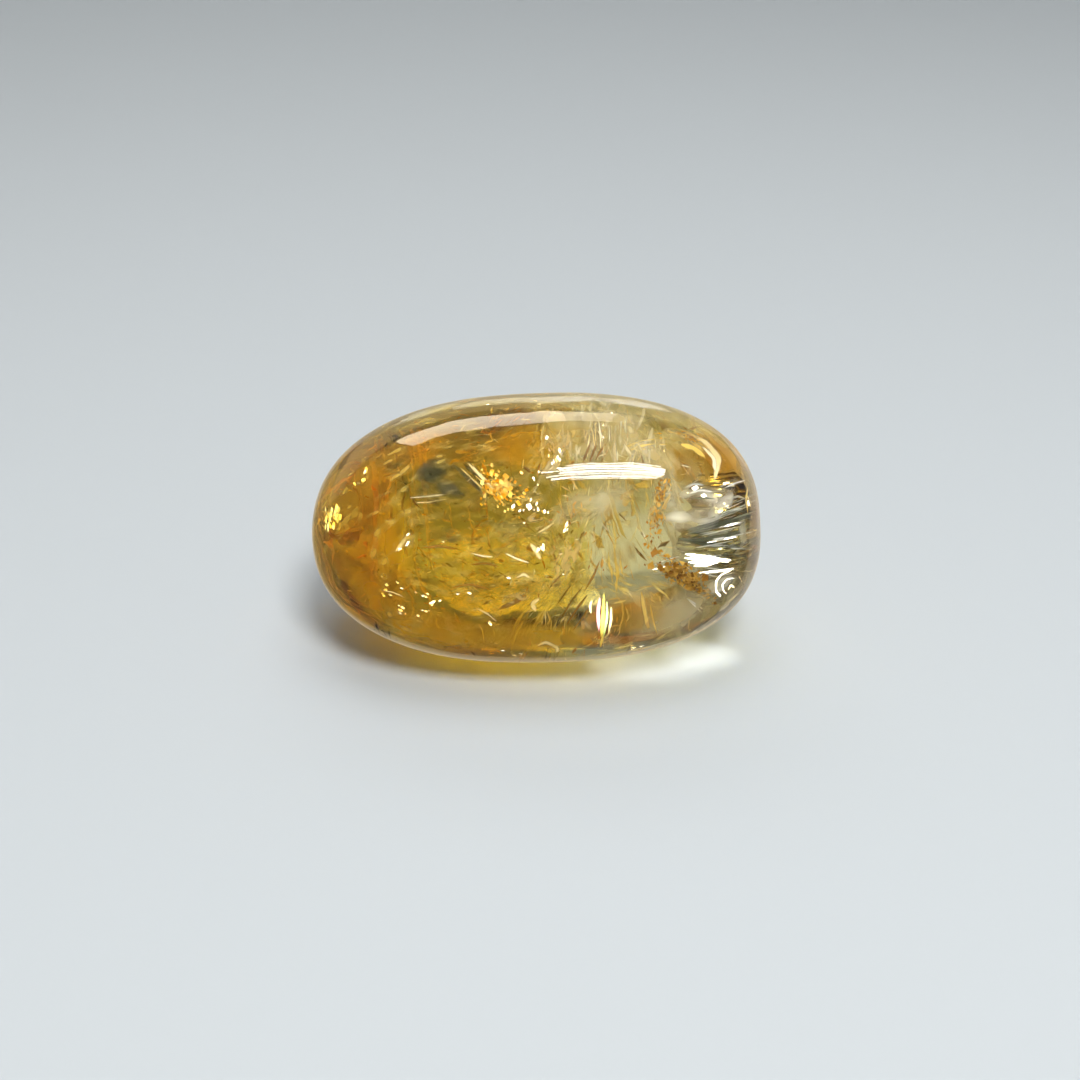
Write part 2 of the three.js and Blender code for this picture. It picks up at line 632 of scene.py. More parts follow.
CLOUD_FINISHES = (
    # name, what is let through, density
    ("honey", (0.95, 0.85, 0.12), 160.0),
    ("deep_amber", (0.995, 0.92, 0.0), 480.0),
    ("foot_amber", (0.99, 0.83, 0.02), 230.0),
    ("rust_gold", (0.95, 0.72, 0.05), 420.0),
    ("burnt_amber", (0.95, 0.72, 0.12), 260.0),
)
for row in CLOUD_FINISHES:
    cloud_material(*row)
CLOUDS = (
    # name, middle and half size in mm, finish, unevenness, size of its grain in mm, seed
    ("honey_body", (-8.0, 0.5, 8.5), (12.0, 12.5, 9.5), "honey", 0.1, 4.0, 5),
    ("amber_end", (-14.5, 0.0, 8.0), (6.6, 12.0, 9.0), "deep_amber", 0.25, 4.0, 1),
    ("amber_foot", (-5.5, -3.0, 1.4), (10.5, 9.0, 2.6), "foot_amber", 0.25, 4.0, 2),
    ("amber_roof", (-5.0, 1.0, 15.3), (9.5, 7.0, 2.6), "foot_amber", 0.25, 4.0, 3),
    ("amber_glow", (-1.5, 1.0, 13.2), (2.4, 2.0, 1.7), "burnt_amber", 0.25, 1.5, 4),
    ("gold_corner", (11.2, -2.0, 13.2), (2.6, 2.4, 1.5), "rust_gold", 0.25, 1.5, 6),
    ("honey_right", (9.0, 1.0, 13.0), (5.5, 6.0, 3.6), "honey", 0.25, 3.0, 7),
)
for row in CLOUDS:
    cloud(*row)

# %% [markdown]
# ## Places in the picture
#
# The zones of the stone get names here, each with the pixel of its middle in the picture. Fields of veils
# and flecks are laid about them, and every one of them is sunk to its own depth under the polish. They come
# in clumps, as in the real stone, and leave three clear spots free.

# %% Places in the picture
WINDOW = (466, 552)
AMBER_END = (348, 525)
ROOF = (470, 442)
CROWN = (592, 428)
PLUME = (572, 575)
PLUME_ROOT = np.array((602, 492))
CLEAR = (645, 560)
BACK = (600, 530)
GOLD_CORNER = (695, 445)
FOOT = (480, 632)
RIGHT_FOOT = (655, 625)
SWIRL = (560, 640)
FAN_ROOT = (672, 548)
GREY_PATCH = (440, 474)
# Each clear spot is the pixel of its middle and its radius in pixels.
CLEAR_SPOTS = ((GREY_PATCH, 25), ((693, 510), 18), ((712, 462), 12))
CLUMP_SIZE = 2.2
CLUMP_SEED = 77
CLUMP_EDGE = 0.22
FARTHEST_OUT = 0.96


def picture_line(dx, dy):
    """The direction in the stone that runs dx pixels right and dy pixels down in the picture."""
    return unit(dx * RIGHTWARD - dy * UPWARD)


def spots(count, pixel, spread, depths, random, turn=0.0):
    """Random places inside the stone about a pixel, in clumps, and the pixel of each. spread is the size of
    the field in pixels, depths the least and greatest depth in mm, and turn tilts the field, in degrees."""
    c, s = math.cos(math.radians(turn)), math.sin(math.radians(turn))
    found = []
    while len(found) < count:
        a, b = random.uniform(-0.5, 0.5, (2, 2)).sum(0) * spread
        pixel_here = np.array((pixel[0] + c * a - s * b, pixel[1] + s * a + c * b))
        if BODY_TREE.ray_cast(Vector(EYE), Vector(sight(*pixel_here)))[0] is None:
            continue
        if any(np.hypot(*(pixel_here - middle)) < reach for middle, reach in CLEAR_SPOTS):
            continue
        place, _ = inside(*pixel_here, random.uniform(*depths))
        crowded = rough(place[None], CLUMP_SIZE, CLUMP_SEED)[0] > random.normal(0, CLUMP_EDGE)
        if crowded and share_out(place)[0] < FARTHEST_OUT:
            found.append((place, pixel_here))
    return found


first_spot, _ = spots(1, WINDOW, (9, 9), (2, 4), np.random.default_rng(1))[0]
print("a spot in the window:", (first_spot / MM).round(1), "mm")

# %% [markdown]
# ## Sheets that carry a pattern
#
# A crack that closed again while the quartz grew leaves a veil: a curved sheet of tiny bubbles and flecks.
# Modelling each bubble would take millions of faces. A sheet with a noise pattern for its alpha gives the
# same look for few. The sheet is a square grid that is bent and rippled. It carries three attributes: one
# fades it out towards its edge, one gives the pattern its run, and one sets its tone.

# %% Curved sheets
def axes(facing, along):
    """Three unit vectors at right angles: facing, what is left of along across it, and the third."""
    facing = unit(facing)
    along = unit(np.asarray(along, float) - np.dot(along, facing) * facing)
    return facing, along, np.cross(facing, along)


def square_grid(rows, columns):
    """Places on a square from -1 to 1, and the quads between them."""
    u, v = np.meshgrid(np.linspace(-1, 1, rows), np.linspace(-1, 1, columns), indexing="ij")
    first = (np.arange(rows - 1)[:, None] * columns + np.arange(columns - 1)[None, :]).ravel()
    quads = np.stack((first, first + columns, first + columns + 1, first + 1), 1)
    return u.ravel(), v.ravel(), quads


def sheet(centre, facing, along, size, bend=0.0, ripple=0.3, seed=1, steps=40, tone=0.5):
    """One curved sheet: its points, quads, fade, grain and tone. facing is its normal, along its grain, size
    its length and width in mm, and bend how far its edges curl away."""
    facing, along, aside = axes(facing, along)
    u, v, quads = square_grid(steps, steps)
    length, width = u * size[0] / 2, v * size[1] / 2
    flat = np.outer(length, along) + np.outer(width, aside)
    lift = bend * (u**2 + 0.5 * v**2) + ripple * rough(flat * MM, 2.5, seed)
    points = centre + (flat + np.outer(lift, facing)) * MM
    fade = np.clip((1 - np.hypot(u, v) * (1 + 0.35 * rough(flat * MM, 3.0, seed + 5))) / 0.4, 0, 1)
    grain = np.stack((length, width, np.full(len(u), seed * 0.7)), 1) * MM
    return points, quads, fade, grain, np.full(len(u), tone)


# %% [markdown]
# ## Ribbons
#
# Needles, streaks and the single cracks that the picture shows are narrow ribbons. Each is drawn through a
# few pixels and sunk under the polish, with a smooth path between them, a width that tapers at both ends,
# and a chosen facing, because a ribbon shines only where it mirrors a lamp.

# %% Ribbons
RIBBON_ROWS = 8
RIBBON_COLUMNS = 5
SMOOTHINGS = 4


def ribbon(pixels, depth, width, facing=None, seed=1, tone=0.5, flat=False):
    """A strip along a path of pixels, depth and width in mm, that narrows to a point at both ends. It
    follows the skin, or lies in one plane if it is flat."""
    path = np.array(pixels, float)
    rows, columns = RIBBON_ROWS * len(path), RIBBON_COLUMNS
    along = np.linspace(0, len(path) - 1, rows)
    path = np.stack([np.interp(along, np.arange(len(path)), path[:, k]) for k in (0, 1)], 1)
    for _ in range(SMOOTHINGS):
        path[1:-1] = (path[:-2] + 2 * path[1:-1] + path[2:]) / 4
    facing = -FORWARD if facing is None else unit(facing)
    found = [inside(px, py, depth) for px, py in path]
    spine, inward = (np.array([one[k] for one in found]) for k in (0, 1))
    if flat:
        spine -= inward * (((spine - spine[rows // 2]) @ facing) / (inward @ facing))[:, None]
    aside = unit_rows(np.cross(facing, np.gradient(spine, axis=0)))
    u, v, quads = square_grid(rows, columns)
    slim = np.clip(1.02 - np.abs(u) ** 2.5, 0, 1)
    uneven = 1 + 0.25 * rough(np.repeat(spine, columns, 0), 0.5, seed)
    half_width = v * slim * uneven * width / 2
    points = np.repeat(spine, columns, 0) + np.repeat(aside, columns, 0) * half_width[:, None] * MM
    reach = np.linalg.norm(spine[-1] - spine[0]) / 2
    fade = np.clip((1 - np.abs(u)) / 0.12, 0, 1) * np.clip((1 - np.abs(v)) / 0.5, 0, 1)
    grain = np.stack((u * reach, v * width / 2 * MM, np.full(len(u), seed * 0.7 * MM)), 1)
    return points, quads, fade, grain, np.full(len(u), tone)


# %% [markdown]
# ## Laying the sheets in the stone
#
# Hundreds of separate objects would be slow to handle, so all sheets of one kind become one mesh. What
# comes near the skin fades out, and what would poke through it is cut off.

# %% Laying the sheets in the stone
def laid(name, sheets, finish, near=0.03):
    """One object from many sheets. What comes nearer to the skin than that share fades out, and what would
    leave the stone is cut off."""
    starts = np.cumsum([0] + [len(points) for points, *_ in sheets])
    points, _, fade, grain, tone = (np.concatenate([one[k] for one in sheets]) for k in range(5))
    quads = np.concatenate([one[1] + start for one, start in zip(sheets, starts)])
    skin_in = SKIN - share_out(points)
    fade = fade * np.clip(skin_in / near, 0, 1)
    above_floor = points[quads][:, :, 2].min(1) > ABOVE_FLOOR
    quads = quads[(skin_in[quads].min(1) > 0) & (fade[quads].max(1) > 0) & above_floor]
    used, faces = np.unique(quads, return_inverse=True)
    piece = mesh_object(name, points[used], faces.reshape(quads.shape), finish)
    for label, values in (("fade", fade), ("tone", tone), ("grain", grain)):
        carry(piece, label, values[used])
    piece.visible_shadow = False
    print(f"{name}: {len(sheets)} sheets, {len(quads)} faces")
    return part_of_stone(piece)


def streaks(name, rows, finish, facing=None, flat=False, near=0.03, first=0):
    """One object from a table of ribbons: path, depth, width and tone. Without a facing, each one faces so
    that it mirrors the light in front."""
    ribbons = []
    for number, (path, depth, width, tone) in enumerate(rows):
        mirror = facing_lamp(*path[1], depth, FRONT) if facing is None else facing
        ribbons.append(ribbon(path, depth, width, mirror, first + number, tone, flat or facing is None))
    return laid(name, ribbons, finish, near)


# %% [markdown]
# ## The finish of the sheets
#
# A veil's material is clear ground with flecks in two tones. Its noise is stretched along the sheet's own
# grain, so the flecks run with it. Where a zone is only cloudy, an even haze without flecks looks softer,
# and renders faster.

# %% Helpers for the finishes
def noise_band(nodes, links, source, scale, low, high, detail=2.0):
    """A noise that is 0 below low and 1 above high."""
    pattern = add_node(nodes, "ShaderNodeTexNoise", Scale=scale, Detail=detail, Roughness=0.6)
    band = add_node(nodes, "ShaderNodeMapRange")
    band.inputs["From Min"].default_value = low
    band.inputs["From Max"].default_value = high
    links.new(source, pattern.inputs["Vector"])
    links.new(pattern.outputs["Fac"], band.inputs["Value"])
    return band.outputs["Result"]


def product(nodes, links, *factors):
    """A chain of multiply nodes. Each factor is a socket or a number."""
    result = factors[0]
    for factor in factors[1:]:
        times = add_node(nodes, "ShaderNodeMath", operation="MULTIPLY")
        links.new(result, times.inputs[0])
        if isinstance(factor, float):
            times.inputs[1].default_value = factor
        else:
            links.new(factor, times.inputs[1])
        result = times.outputs["Value"]
    return result


def two_tones(nodes, links, shader, share, colour, other):
    """Base colour between two tones, by a share from 0 to 1."""
    tones = add_node(nodes, "ShaderNodeValToRGB")
    tones.color_ramp.elements[0].position = 0.25
    tones.color_ramp.elements[0].color = (*colour, 1)
    tones.color_ramp.elements[1].position = 0.75
    tones.color_ramp.elements[1].color = (*other, 1)
    links.new(share, tones.inputs["Fac"])
    links.new(tones.outputs["Color"], shader.inputs["Base Color"])


# %% The finish of the sheets
def veil_material(name, colour, other, grain, cover, strength, soft, seed, even):
    """Flecks in two tones on clear ground. grain is their length and width in mm, cover the share that they
    hide, and soft the width of their edges. They gather in patches unless they are even."""
    nodes, links, shader = start_material(name, Roughness=0.5, Specular_IOR_Level=0.15)
    place = add_node(nodes, "ShaderNodeAttribute", attribute_name="grain")
    fade = add_node(nodes, "ShaderNodeAttribute", attribute_name="fade")
    tone = add_node(nodes, "ShaderNodeAttribute", attribute_name="tone")
    lay = add_node(nodes, "ShaderNodeMapping")
    lay.inputs["Scale"].default_value = (1 / (grain[0] * MM), 1 / (grain[1] * MM), 1 / MM)
    lay.inputs["Location"].default_value = (seed * 3.7, seed * 9.1, seed * 1.3)
    links.new(place.outputs["Vector"], lay.inputs["Vector"])
    start = 0.66 - 0.3 * cover
    flecks = noise_band(nodes, links, lay.outputs["Vector"], 1.0, start, start + soft, detail=1.0)
    shares = [flecks, fade.outputs["Fac"], strength]
    if not even:
        body = add_node(nodes, "ShaderNodeTexCoord")
        shares.append(noise_band(nodes, links, body.outputs["Object"], 0.45 / MM, 0.36, 0.56, detail=0.0))
    links.new(product(nodes, links, *shares), shader.inputs["Alpha"])
    middle = add_node(nodes, "ShaderNodeMath", operation="ADD")
    links.new(flecks, middle.inputs[0])
    links.new(tone.outputs["Fac"], middle.inputs[1])
    two_tones(nodes, links, shader, product(nodes, links, middle.outputs["Value"], 0.5), colour, other)


def haze_material(name, colour, other, strength):
    """Even haze without a grain, whose colour drifts between two tones."""
    nodes, links, shader = start_material(name, Roughness=0.7, Specular_IOR_Level=0.1)
    place = add_node(nodes, "ShaderNodeTexCoord")
    fade = add_node(nodes, "ShaderNodeAttribute", attribute_name="fade")
    drift = noise_band(nodes, links, place.outputs["Object"], 300.0, 0.3, 0.7, detail=1.0)
    links.new(product(nodes, links, fade.outputs["Fac"], strength), shader.inputs["Alpha"])
    two_tones(nodes, links, shader, drift, colour, other)


VEILS = (
    # name, two tones, length and width of the flecks in mm, cover, strength, soft edge, seed, even
    ("pale_flecks", (0.88, 0.66, 0.22), (1.0, 0.90, 0.48), (1.1, 0.28), 0.4, 0.7, 0.2, 1, False),
    ("gold_flecks", (0.68, 0.44, 0.06), (0.96, 0.70, 0.16), (1.6, 0.55), 0.6, 0.65, 0.25, 2, False),
    ("brown_flecks", (0.50, 0.30, 0.05), (0.28, 0.17, 0.03), (1.0, 0.20), 0.3, 0.8, 0.12, 3, False),
    ("olive_flecks", (0.52, 0.42, 0.12), (0.30, 0.25, 0.08), (1.8, 0.6), 0.5, 0.65, 0.2, 8, False),
    ("gold_feathers", (0.62, 0.36, 0.05), (0.98, 0.72, 0.20), (1.4, 0.22), 0.55, 0.75, 0.2, 4, False),
    ("pale_feathers", (0.92, 0.70, 0.30), (1.0, 0.94, 0.68), (1.5, 0.20), 0.55, 0.8, 0.2, 5, False),
    ("dark_mottle", (0.50, 0.30, 0.04), (0.26, 0.15, 0.02), (2.0, 0.9), 0.5, 0.5, 0.2, 9, False),
    ("pale_mottle", (0.95, 0.74, 0.28), (1.0, 0.90, 0.55), (1.8, 0.8), 0.45, 0.5, 0.2, 10, False),
    ("straw_haze", (0.90, 0.70, 0.34), (1.0, 0.92, 0.64), (1.6, 0.5), 0.9, 0.6, 0.4, 12, True),
    ("cream_haze", (0.60, 0.52, 0.34), (0.95, 0.90, 0.72), (2.6, 1.6), 1.4, 0.38, 0.5, 11, True),
    # The next finish is painted shade, for the clear patch that looks dark.
    ("grey_glass", (0.13, 0.115, 0.03), (0.04, 0.042, 0.012), (1.2, 0.7), 1.0, 0.95, 0.4, 11, True),
    ("brown_band", (0.36, 0.23, 0.06), (0.74, 0.52, 0.18), (0.7, 0.35), 0.8, 0.8, 0.12, 16, True),
    ("cream_patch", (0.86, 0.80, 0.60), (1.0, 0.98, 0.88), (2.5, 1.0), 1.0, 0.9, 0.4, 14, True),
)
for row in VEILS:
    veil_material(*row)
HAZES = (
    # name, two tones, strength
    ("amber_haze", (0.78, 0.40, 0.005), (0.96, 0.56, 0.02), 0.4),
    ("honey_haze", (0.85, 0.66, 0.30), (1.0, 0.86, 0.52), 0.35),
    # The next finish is haze and painted light for the pale rims.
    ("rim_haze", (0.95, 0.86, 0.62), (1.0, 0.96, 0.82), 0.6),
)
for row in HAZES:
    haze_material(*row)
print("finishes of the sheets:", len(VEILS) + len(HAZES))

# %% [markdown]
# ## Feathers
#
# The stone looks feathery all through, and the feathers follow the crystal's growth: nearly level in the
# window on the left, upright under the crown, and spreading like a plume through the middle. More than a
# hundred small sheets, each a few millimetres long and turned a little out of line, give that from every
# side.

# %% Feathers
TILTED = (0.0, -0.65, 0.75)
FRONTAL = (0.0, -0.95, 0.3)
LEVEL = (1, 0.12)
UPRIGHT = (0.06, -1)
SPREADING = None


def run_at(spot, flow):
    """The run of a grain at a pixel: flow, in pixels right and down, or away from the plume's root."""
    return picture_line(*(spot - PLUME_ROOT if flow is SPREADING else flow))


def feathers(name, count, pixel, spread, depths, flow, size, finish, facing, seed, loose=0.3):
    """A field of small sheets about a pixel. loose says how far each one strays from its facing and run."""
    random = np.random.default_rng(seed)
    sheets = []
    for place, spot in spots(count, pixel, spread, depths, random):
        run = run_at(spot, flow)
        scale = random.uniform(0.6, 1.3)
        sheets.append(
            sheet(
                place,
                unit(facing) + random.normal(0, loose, 3),
                run + random.normal(0, loose, 3),
                (size[0] * scale, size[1] * scale),
                bend=random.normal(0, 0.25),
                ripple=0.12,
                seed=int(random.integers(1000)),
                steps=8,
                tone=random.uniform(0, 1),
            )
        )
    return laid(name, sheets, finish)


FEATHER_FIELDS = (
    # name, count, middle and spread in pixels, depths in mm, run, size in mm, finish, facing, seed, looseness
    ("window_dark_mottle", 5, WINDOW, (130, 105), (2, 9), LEVEL, (8.0, 6.0), "dark_mottle", TILTED, 36),
    ("window_pale_mottle", 4, WINDOW, (130, 105), (2, 9), LEVEL, (8.0, 6.0), "pale_mottle", TILTED, 37),
    ("roof_dark_mottle", 5, ROOF, (150, 45), (1, 5), (1, -0.25), (7.0, 4.0), "dark_mottle", TILTED, 38),
    ("crown_pale_mottle", 6, CROWN, (130, 60), (0.6, 4), UPRIGHT, (5.0, 3.5), "pale_mottle", TILTED, 39),
    ("plume_dark_mottle", 5, PLUME, (76, 130), (1.5, 7), SPREADING, (6.0, 3.0),
     "dark_mottle", FRONTAL, 40),
    ("window_pale", 7, WINDOW, (130, 105), (2, 12), LEVEL, (5.0, 3.4), "pale_flecks", TILTED, 41),
    ("window_gold", 4, WINDOW, (130, 105), (3, 13), LEVEL, (6.0, 4.0), "gold_flecks", TILTED, 42),
    ("window_olive", 8, WINDOW, (130, 105), (2, 12), LEVEL, (6.0, 4.0), "olive_flecks", TILTED, 43),
    ("window_brown", 8, WINDOW, (130, 105), (1.5, 10), LEVEL, (4.0, 2.6), "brown_flecks", TILTED, 44),
    ("roof_gold", 7, ROOF, (150, 45), (1.0, 7), (1, -0.25), (5.0, 3.0), "gold_flecks", TILTED, 47),
    ("roof_brown", 7, ROOF, (150, 45), (1.0, 7), (1, -0.25), (4.0, 2.0), "brown_flecks", TILTED, 48),
    ("crown_pale", 9, CROWN, (130, 60), (0.8, 7), UPRIGHT, (4.5, 2.4), "pale_feathers", TILTED, 49),
    ("crown_haze", 6, CROWN, (120, 60), (0.6, 3), UPRIGHT, (5.0, 3.0), "straw_haze", TILTED, 35),
    ("crown_gold", 6, CROWN, (140, 70), (0.8, 8), UPRIGHT, (4.0, 2.2), "gold_feathers", TILTED, 50),
    ("plume_gold", 9, PLUME, (76, 130), (1.5, 9), SPREADING, (5.0, 2.4), "gold_feathers", FRONTAL, 51),
    ("plume_pale", 8, PLUME, (76, 130), (1.5, 9), SPREADING, (4.0, 2.0), "pale_feathers", FRONTAL, 52),
    ("plume_brown", 6, PLUME, (70, 130), (1.5, 8), SPREADING, (3.5, 1.6), "brown_flecks", FRONTAL, 53),
    ("swirl_pale", 6, SWIRL, (70, 40), (0.8, 4), (1, -0.4), (3.0, 2.2), "pale_flecks", FRONTAL, 54, 0.6),
    ("right_foot_haze", 5, RIGHT_FOOT, (140, 50), (0.8, 6), (1, -0.15), (6.0, 3.6),
     "cream_haze", FRONTAL, 56),
    ("back_veils", 5, BACK, (300, 160), (12, 20), (1, 0.5), (6.0, 3.5), "pale_feathers", TILTED, 33),
    ("clear_cream", 5, CLEAR, (120, 150), (3, 11), (0.4, -1), (6.0, 3.0), "cream_haze", TILTED, 60),
    ("corner_haze", 6, GOLD_CORNER, (90, 60), (1.0, 8), (1, 0.5), (5.0, 3.0), "honey_haze", TILTED, 58),
)
for row in FEATHER_FIELDS:
    feathers(*row)
print("feathers:", sum(row[1] for row in FEATHER_FIELDS))

# %% [markdown]
# ## Hazy skins
#
# The tapered end and the foot are cloudy just under the polish. A copy of the whole skin, a little smaller
# and faded out along a line, gives that in one piece. A curved wall across the inside does the same between
# the golden part and the clear end.

# %% Hazy skins
def hazy_skin(name, scale, towards_line, begins, ends, finish, seed=1):
    """A thin cloudy layer just under the polish, at that share of the way out. It grows denser along a
    line, from begins to ends in mm."""
    points = stone_points(CLOUD_BALL, scale)
    along = points @ unit(towards_line) / MM
    fade = np.clip((along - begins) / (ends - begins) + 0.25 * rough(points, 3.0, seed), 0, 1)
    grain = points + (0, 0, seed * MM)
    faces = np.array(CLOUD_FACES)
    return laid(name, [(points, faces, fade, grain, 0.5 + 0.4 * rough(points, 4.0, seed + 2))], finish)


hazy_skin("end_skin", 0.975, (-1, 0, 0), 8.0, 13.0, "amber_haze", seed=1)
hazy_skin("foot_skin", 0.965, (-1, 0, 0), -4.0, 6.0, "gold_flecks", seed=3)
hazy_skin("blunt_haze", 0.80, (1, 0, 0), 6.0, 10.0, "cream_haze", seed=4)
WALL_MIDDLE = np.array((8.2, 1.5, 9.0)) * MM
wall = sheet(WALL_MIDDLE, (1, 0.2, 0.1), (0, 0.3, 1), (15.0, 20.0), bend=-1.5, ripple=0.8, seed=7, tone=0.5)
laid("haze_wall", [wall], "cream_haze")

# %% [markdown]
# ## Patches of haze
#
# Some places in the picture are plainly cloudier or warmer than the fields make them, such as the amber
# band along the foot. The pale rims are partly haze and partly painted light: pale sheets just under the
# polish stand in for light that the rims reflect and refract. A patch is one small sheet at a pixel, and a
# table of them makes one piece.

# %% Patches of haze
def patch(pixel, depth, size, flow, seed, tone=0.5, facing=TILTED, bend=0.1):
    """A small sheet at a pixel, its size in mm along and across the flow."""
    place, _ = inside(*pixel, depth)
    return sheet(place, facing, picture_line(*flow), size, bend, ripple=0.1, seed=seed, steps=16, tone=tone)


laid(
    "amber_sheets",
    (
        patch((470, 636), 1.6, (17.0, 3.4), (1, 0.02), 1, facing=FRONTAL, bend=0.6),
        patch((420, 628), 2.6, (11.0, 3.6), (1, 0.25), 2, facing=FRONTAL, bend=0.6),
        patch((540, 640), 2.2, (9.0, 2.8), (1, -0.05), 3, facing=FRONTAL, bend=0.4),
        patch((400, 455), 2.4, (9.0, 4.5), (1, -0.5), 4, bend=0.6),
        patch((634, 616), 1.3, (6.5, 3.4), (1, -0.1), 12, facing=FRONTAL, bend=0.3),
        patch((394, 542), 2.0, (7.0, 2.6), (0.1, 1), 15, facing=FRONTAL),
        patch((391, 574), 2.2, (6.0, 2.6), (-0.1, 1), 16, facing=FRONTAL),
        patch((370, 594), 1.8, (5.5, 4.0), (1, 0.7), 17, facing=FRONTAL, bend=0.3),
        patch((530, 446), 3.0, (8.0, 4.0), (1, 0.0), 6, bend=0.4),
    ),
    "amber_haze",
)
laid(
    "honey_sheets",
    (
        patch((578, 428), 2.2, (7.0, 5.0), UPRIGHT, 18, bend=0.3),
        patch((612, 432), 2.8, (7.0, 5.0), UPRIGHT, 19, bend=0.3),
        patch((672, 616), 1.5, (6.5, 3.0), (1, -0.4), 13, facing=FRONTAL, bend=0.3),
    ),
    "honey_haze",
)
# Partly haze, partly painted reflection: pale sheets under the top rim for the light that it reflects.
laid(
    "top_rim_painted_light",
    (
        patch((420, 414), 0.8, (9.0, 1.8), (1, -0.35), 7, facing=(0, -0.3, 1), bend=0.5),
        patch((490, 402), 0.8, (9.0, 1.8), (1, -0.1), 8, facing=(0, -0.3, 1), bend=0.4),
        patch((560, 399), 0.8, (9.0, 1.8), (1, 0.0), 9, facing=(0, -0.3, 1), bend=0.4),
        patch((640, 404), 0.8, (8.0, 1.8), (1, 0.2), 10, facing=(0, -0.3, 1), bend=0.4),
    ),
    "rim_haze",
    near=0.008,
)
# Painted light: pale ribbons for the bright band of refracted light along the lower rim.
laid(
    "bottom_rim_painted_light",
    (
        ribbon(((606, 660), (650, 655), (690, 644), (724, 622)), 0.7, 1.6, FRONTAL, 11),
        ribbon(((640, 656), (676, 650), (706, 638), (732, 614)), 0.6, 0.8, FRONTAL, 12),
    ),
    "rim_haze",
    near=0.004,
)

# %% [markdown]
# ## Flecks
#
# Between the feathers float hundreds of separate flecks: plates of iron oxide, brown and dull, or of pale
# mica. One function scatters a field of them as a single mesh, each fleck a small closed lens with an
# uneven outline. They are opaque, which keeps the render fast. The fields are laid after the leaves, in the
# next step.

# %% Flecks
def dull_plate(name, colour, other, roughness):
    """An opaque plate whose colour drifts between two tones from fleck to fleck."""
    nodes, links, shader = start_material(name, Roughness=roughness, IOR=1.6)
    place = add_node(nodes, "ShaderNodeTexCoord")
    drift = noise_band(nodes, links, place.outputs["Object"], 1500.0, 0.3, 0.7, detail=1.0)
    two_tones(nodes, links, shader, drift, colour, other)


dull_plate("rust", (0.40, 0.17, 0.02), (0.62, 0.33, 0.06), 0.45)
dull_plate("pale_mica", (0.95, 0.80, 0.48), (1.0, 0.92, 0.72), 0.3)
RING = 8
FLECK_THICKNESS = 0.03
FLECK_LOOSENESS = 0.35


def lens(centre, facing, along, length, width, thickness, curl, random):
    """Points and faces of one closed sliver, all sizes in mm: a rim of points, and one point on each side."""
    facing, along, aside = axes(facing, along)
    turns = np.arange(RING) * 2 * math.pi / RING
    reach = random.uniform(0.6, 1.0, RING)
    u, v = reach * np.cos(turns) * length / 2, reach * np.sin(turns) * width / 2
    lift = curl * (u / (length / 2)) ** 2
    rim = centre + (np.outer(u, along) + np.outer(v, aside) + np.outer(lift, facing)) * MM
    faces_of_it = np.array((facing, -facing)) * thickness / 2 * MM
    points = np.vstack((rim, centre + faces_of_it))
    faces = [(i, (i + 1) % RING, RING) for i in range(RING)]
    faces += [((i + 1) % RING, i, RING + 1) for i in range(RING)]
    return points, faces


def joined(name, slivers, finish):
    """One object from many slivers."""
    points, faces = [], []
    for own_points, own_faces in slivers:
        start = len(points)
        points.extend(own_points)
        faces.extend(tuple(start + i for i in face) for face in own_faces)
    piece = mesh_object(name, points, faces, finish, smooth=False)
    print(f"{name}: {len(slivers)} flecks, {len(faces)} faces")
    return part_of_stone(piece)


def flecks(name, count, pixel, spread, depths, flow, lengths, finish, facing, slim, seed):
    """A field of flecks about a pixel. flow is the run of their long side in the picture, in pixels right
    and down, and slim their width as a share of their length."""
    random = np.random.default_rng(seed)
    slivers = []
    for place, _ in spots(count, pixel, spread, depths, random):
        length = random.uniform(*lengths) * random.uniform(0.5, 1.0)
        slivers.append(
            lens(
                place,
                unit(facing) + random.normal(0, FLECK_LOOSENESS, 3),
                picture_line(*flow) + random.normal(0, FLECK_LOOSENESS, 3),
                length,
                length * slim * random.uniform(0.6, 1.4),
                FLECK_THICKNESS,
                random.uniform(-0.1, 0.1) * length,
                random,
            )
        )
    return joined(name, slivers, finish)


FLECK_FIELDS = (
    # name, count, middle, spread in pixels, depths in mm, run, lengths in mm, finish, facing, slimness, seed
    ("window_rust", 70, WINDOW, (130, 105), (2, 11), LEVEL, (0.2, 0.6), "rust", TILTED, 0.3, 22),
    ("window_mica", 60, WINDOW, (130, 105), (1.5, 9), LEVEL, (0.2, 0.7), "pale_mica", TILTED, 0.2, 23),
    ("plume_rust", 60, PLUME, (80, 170), (1.5, 8), UPRIGHT, (0.2, 0.8), "rust", FRONTAL, 0.3, 24),
    ("roof_rust", 70, ROOF, (150, 45), (1.5, 6), (1, -0.2), (0.2, 0.6), "rust", TILTED, 0.3, 26),
    ("crown_mica", 50, CROWN, (130, 60), (1.0, 6), UPRIGHT, (0.3, 1.2), "pale_mica", TILTED, 0.12, 29),
    ("crown_rust", 30, CROWN, (110, 60), (1.0, 5), UPRIGHT, (0.4, 1.2), "rust", TILTED, 0.12, 30),
)

# %% [markdown]
# ## Leaves
#
# The finest grain of the inside is too small for closed shapes. Folded leaves of two triangles each are
# enough: thousands of them catch the light differently, and each takes its own tone from a short range.

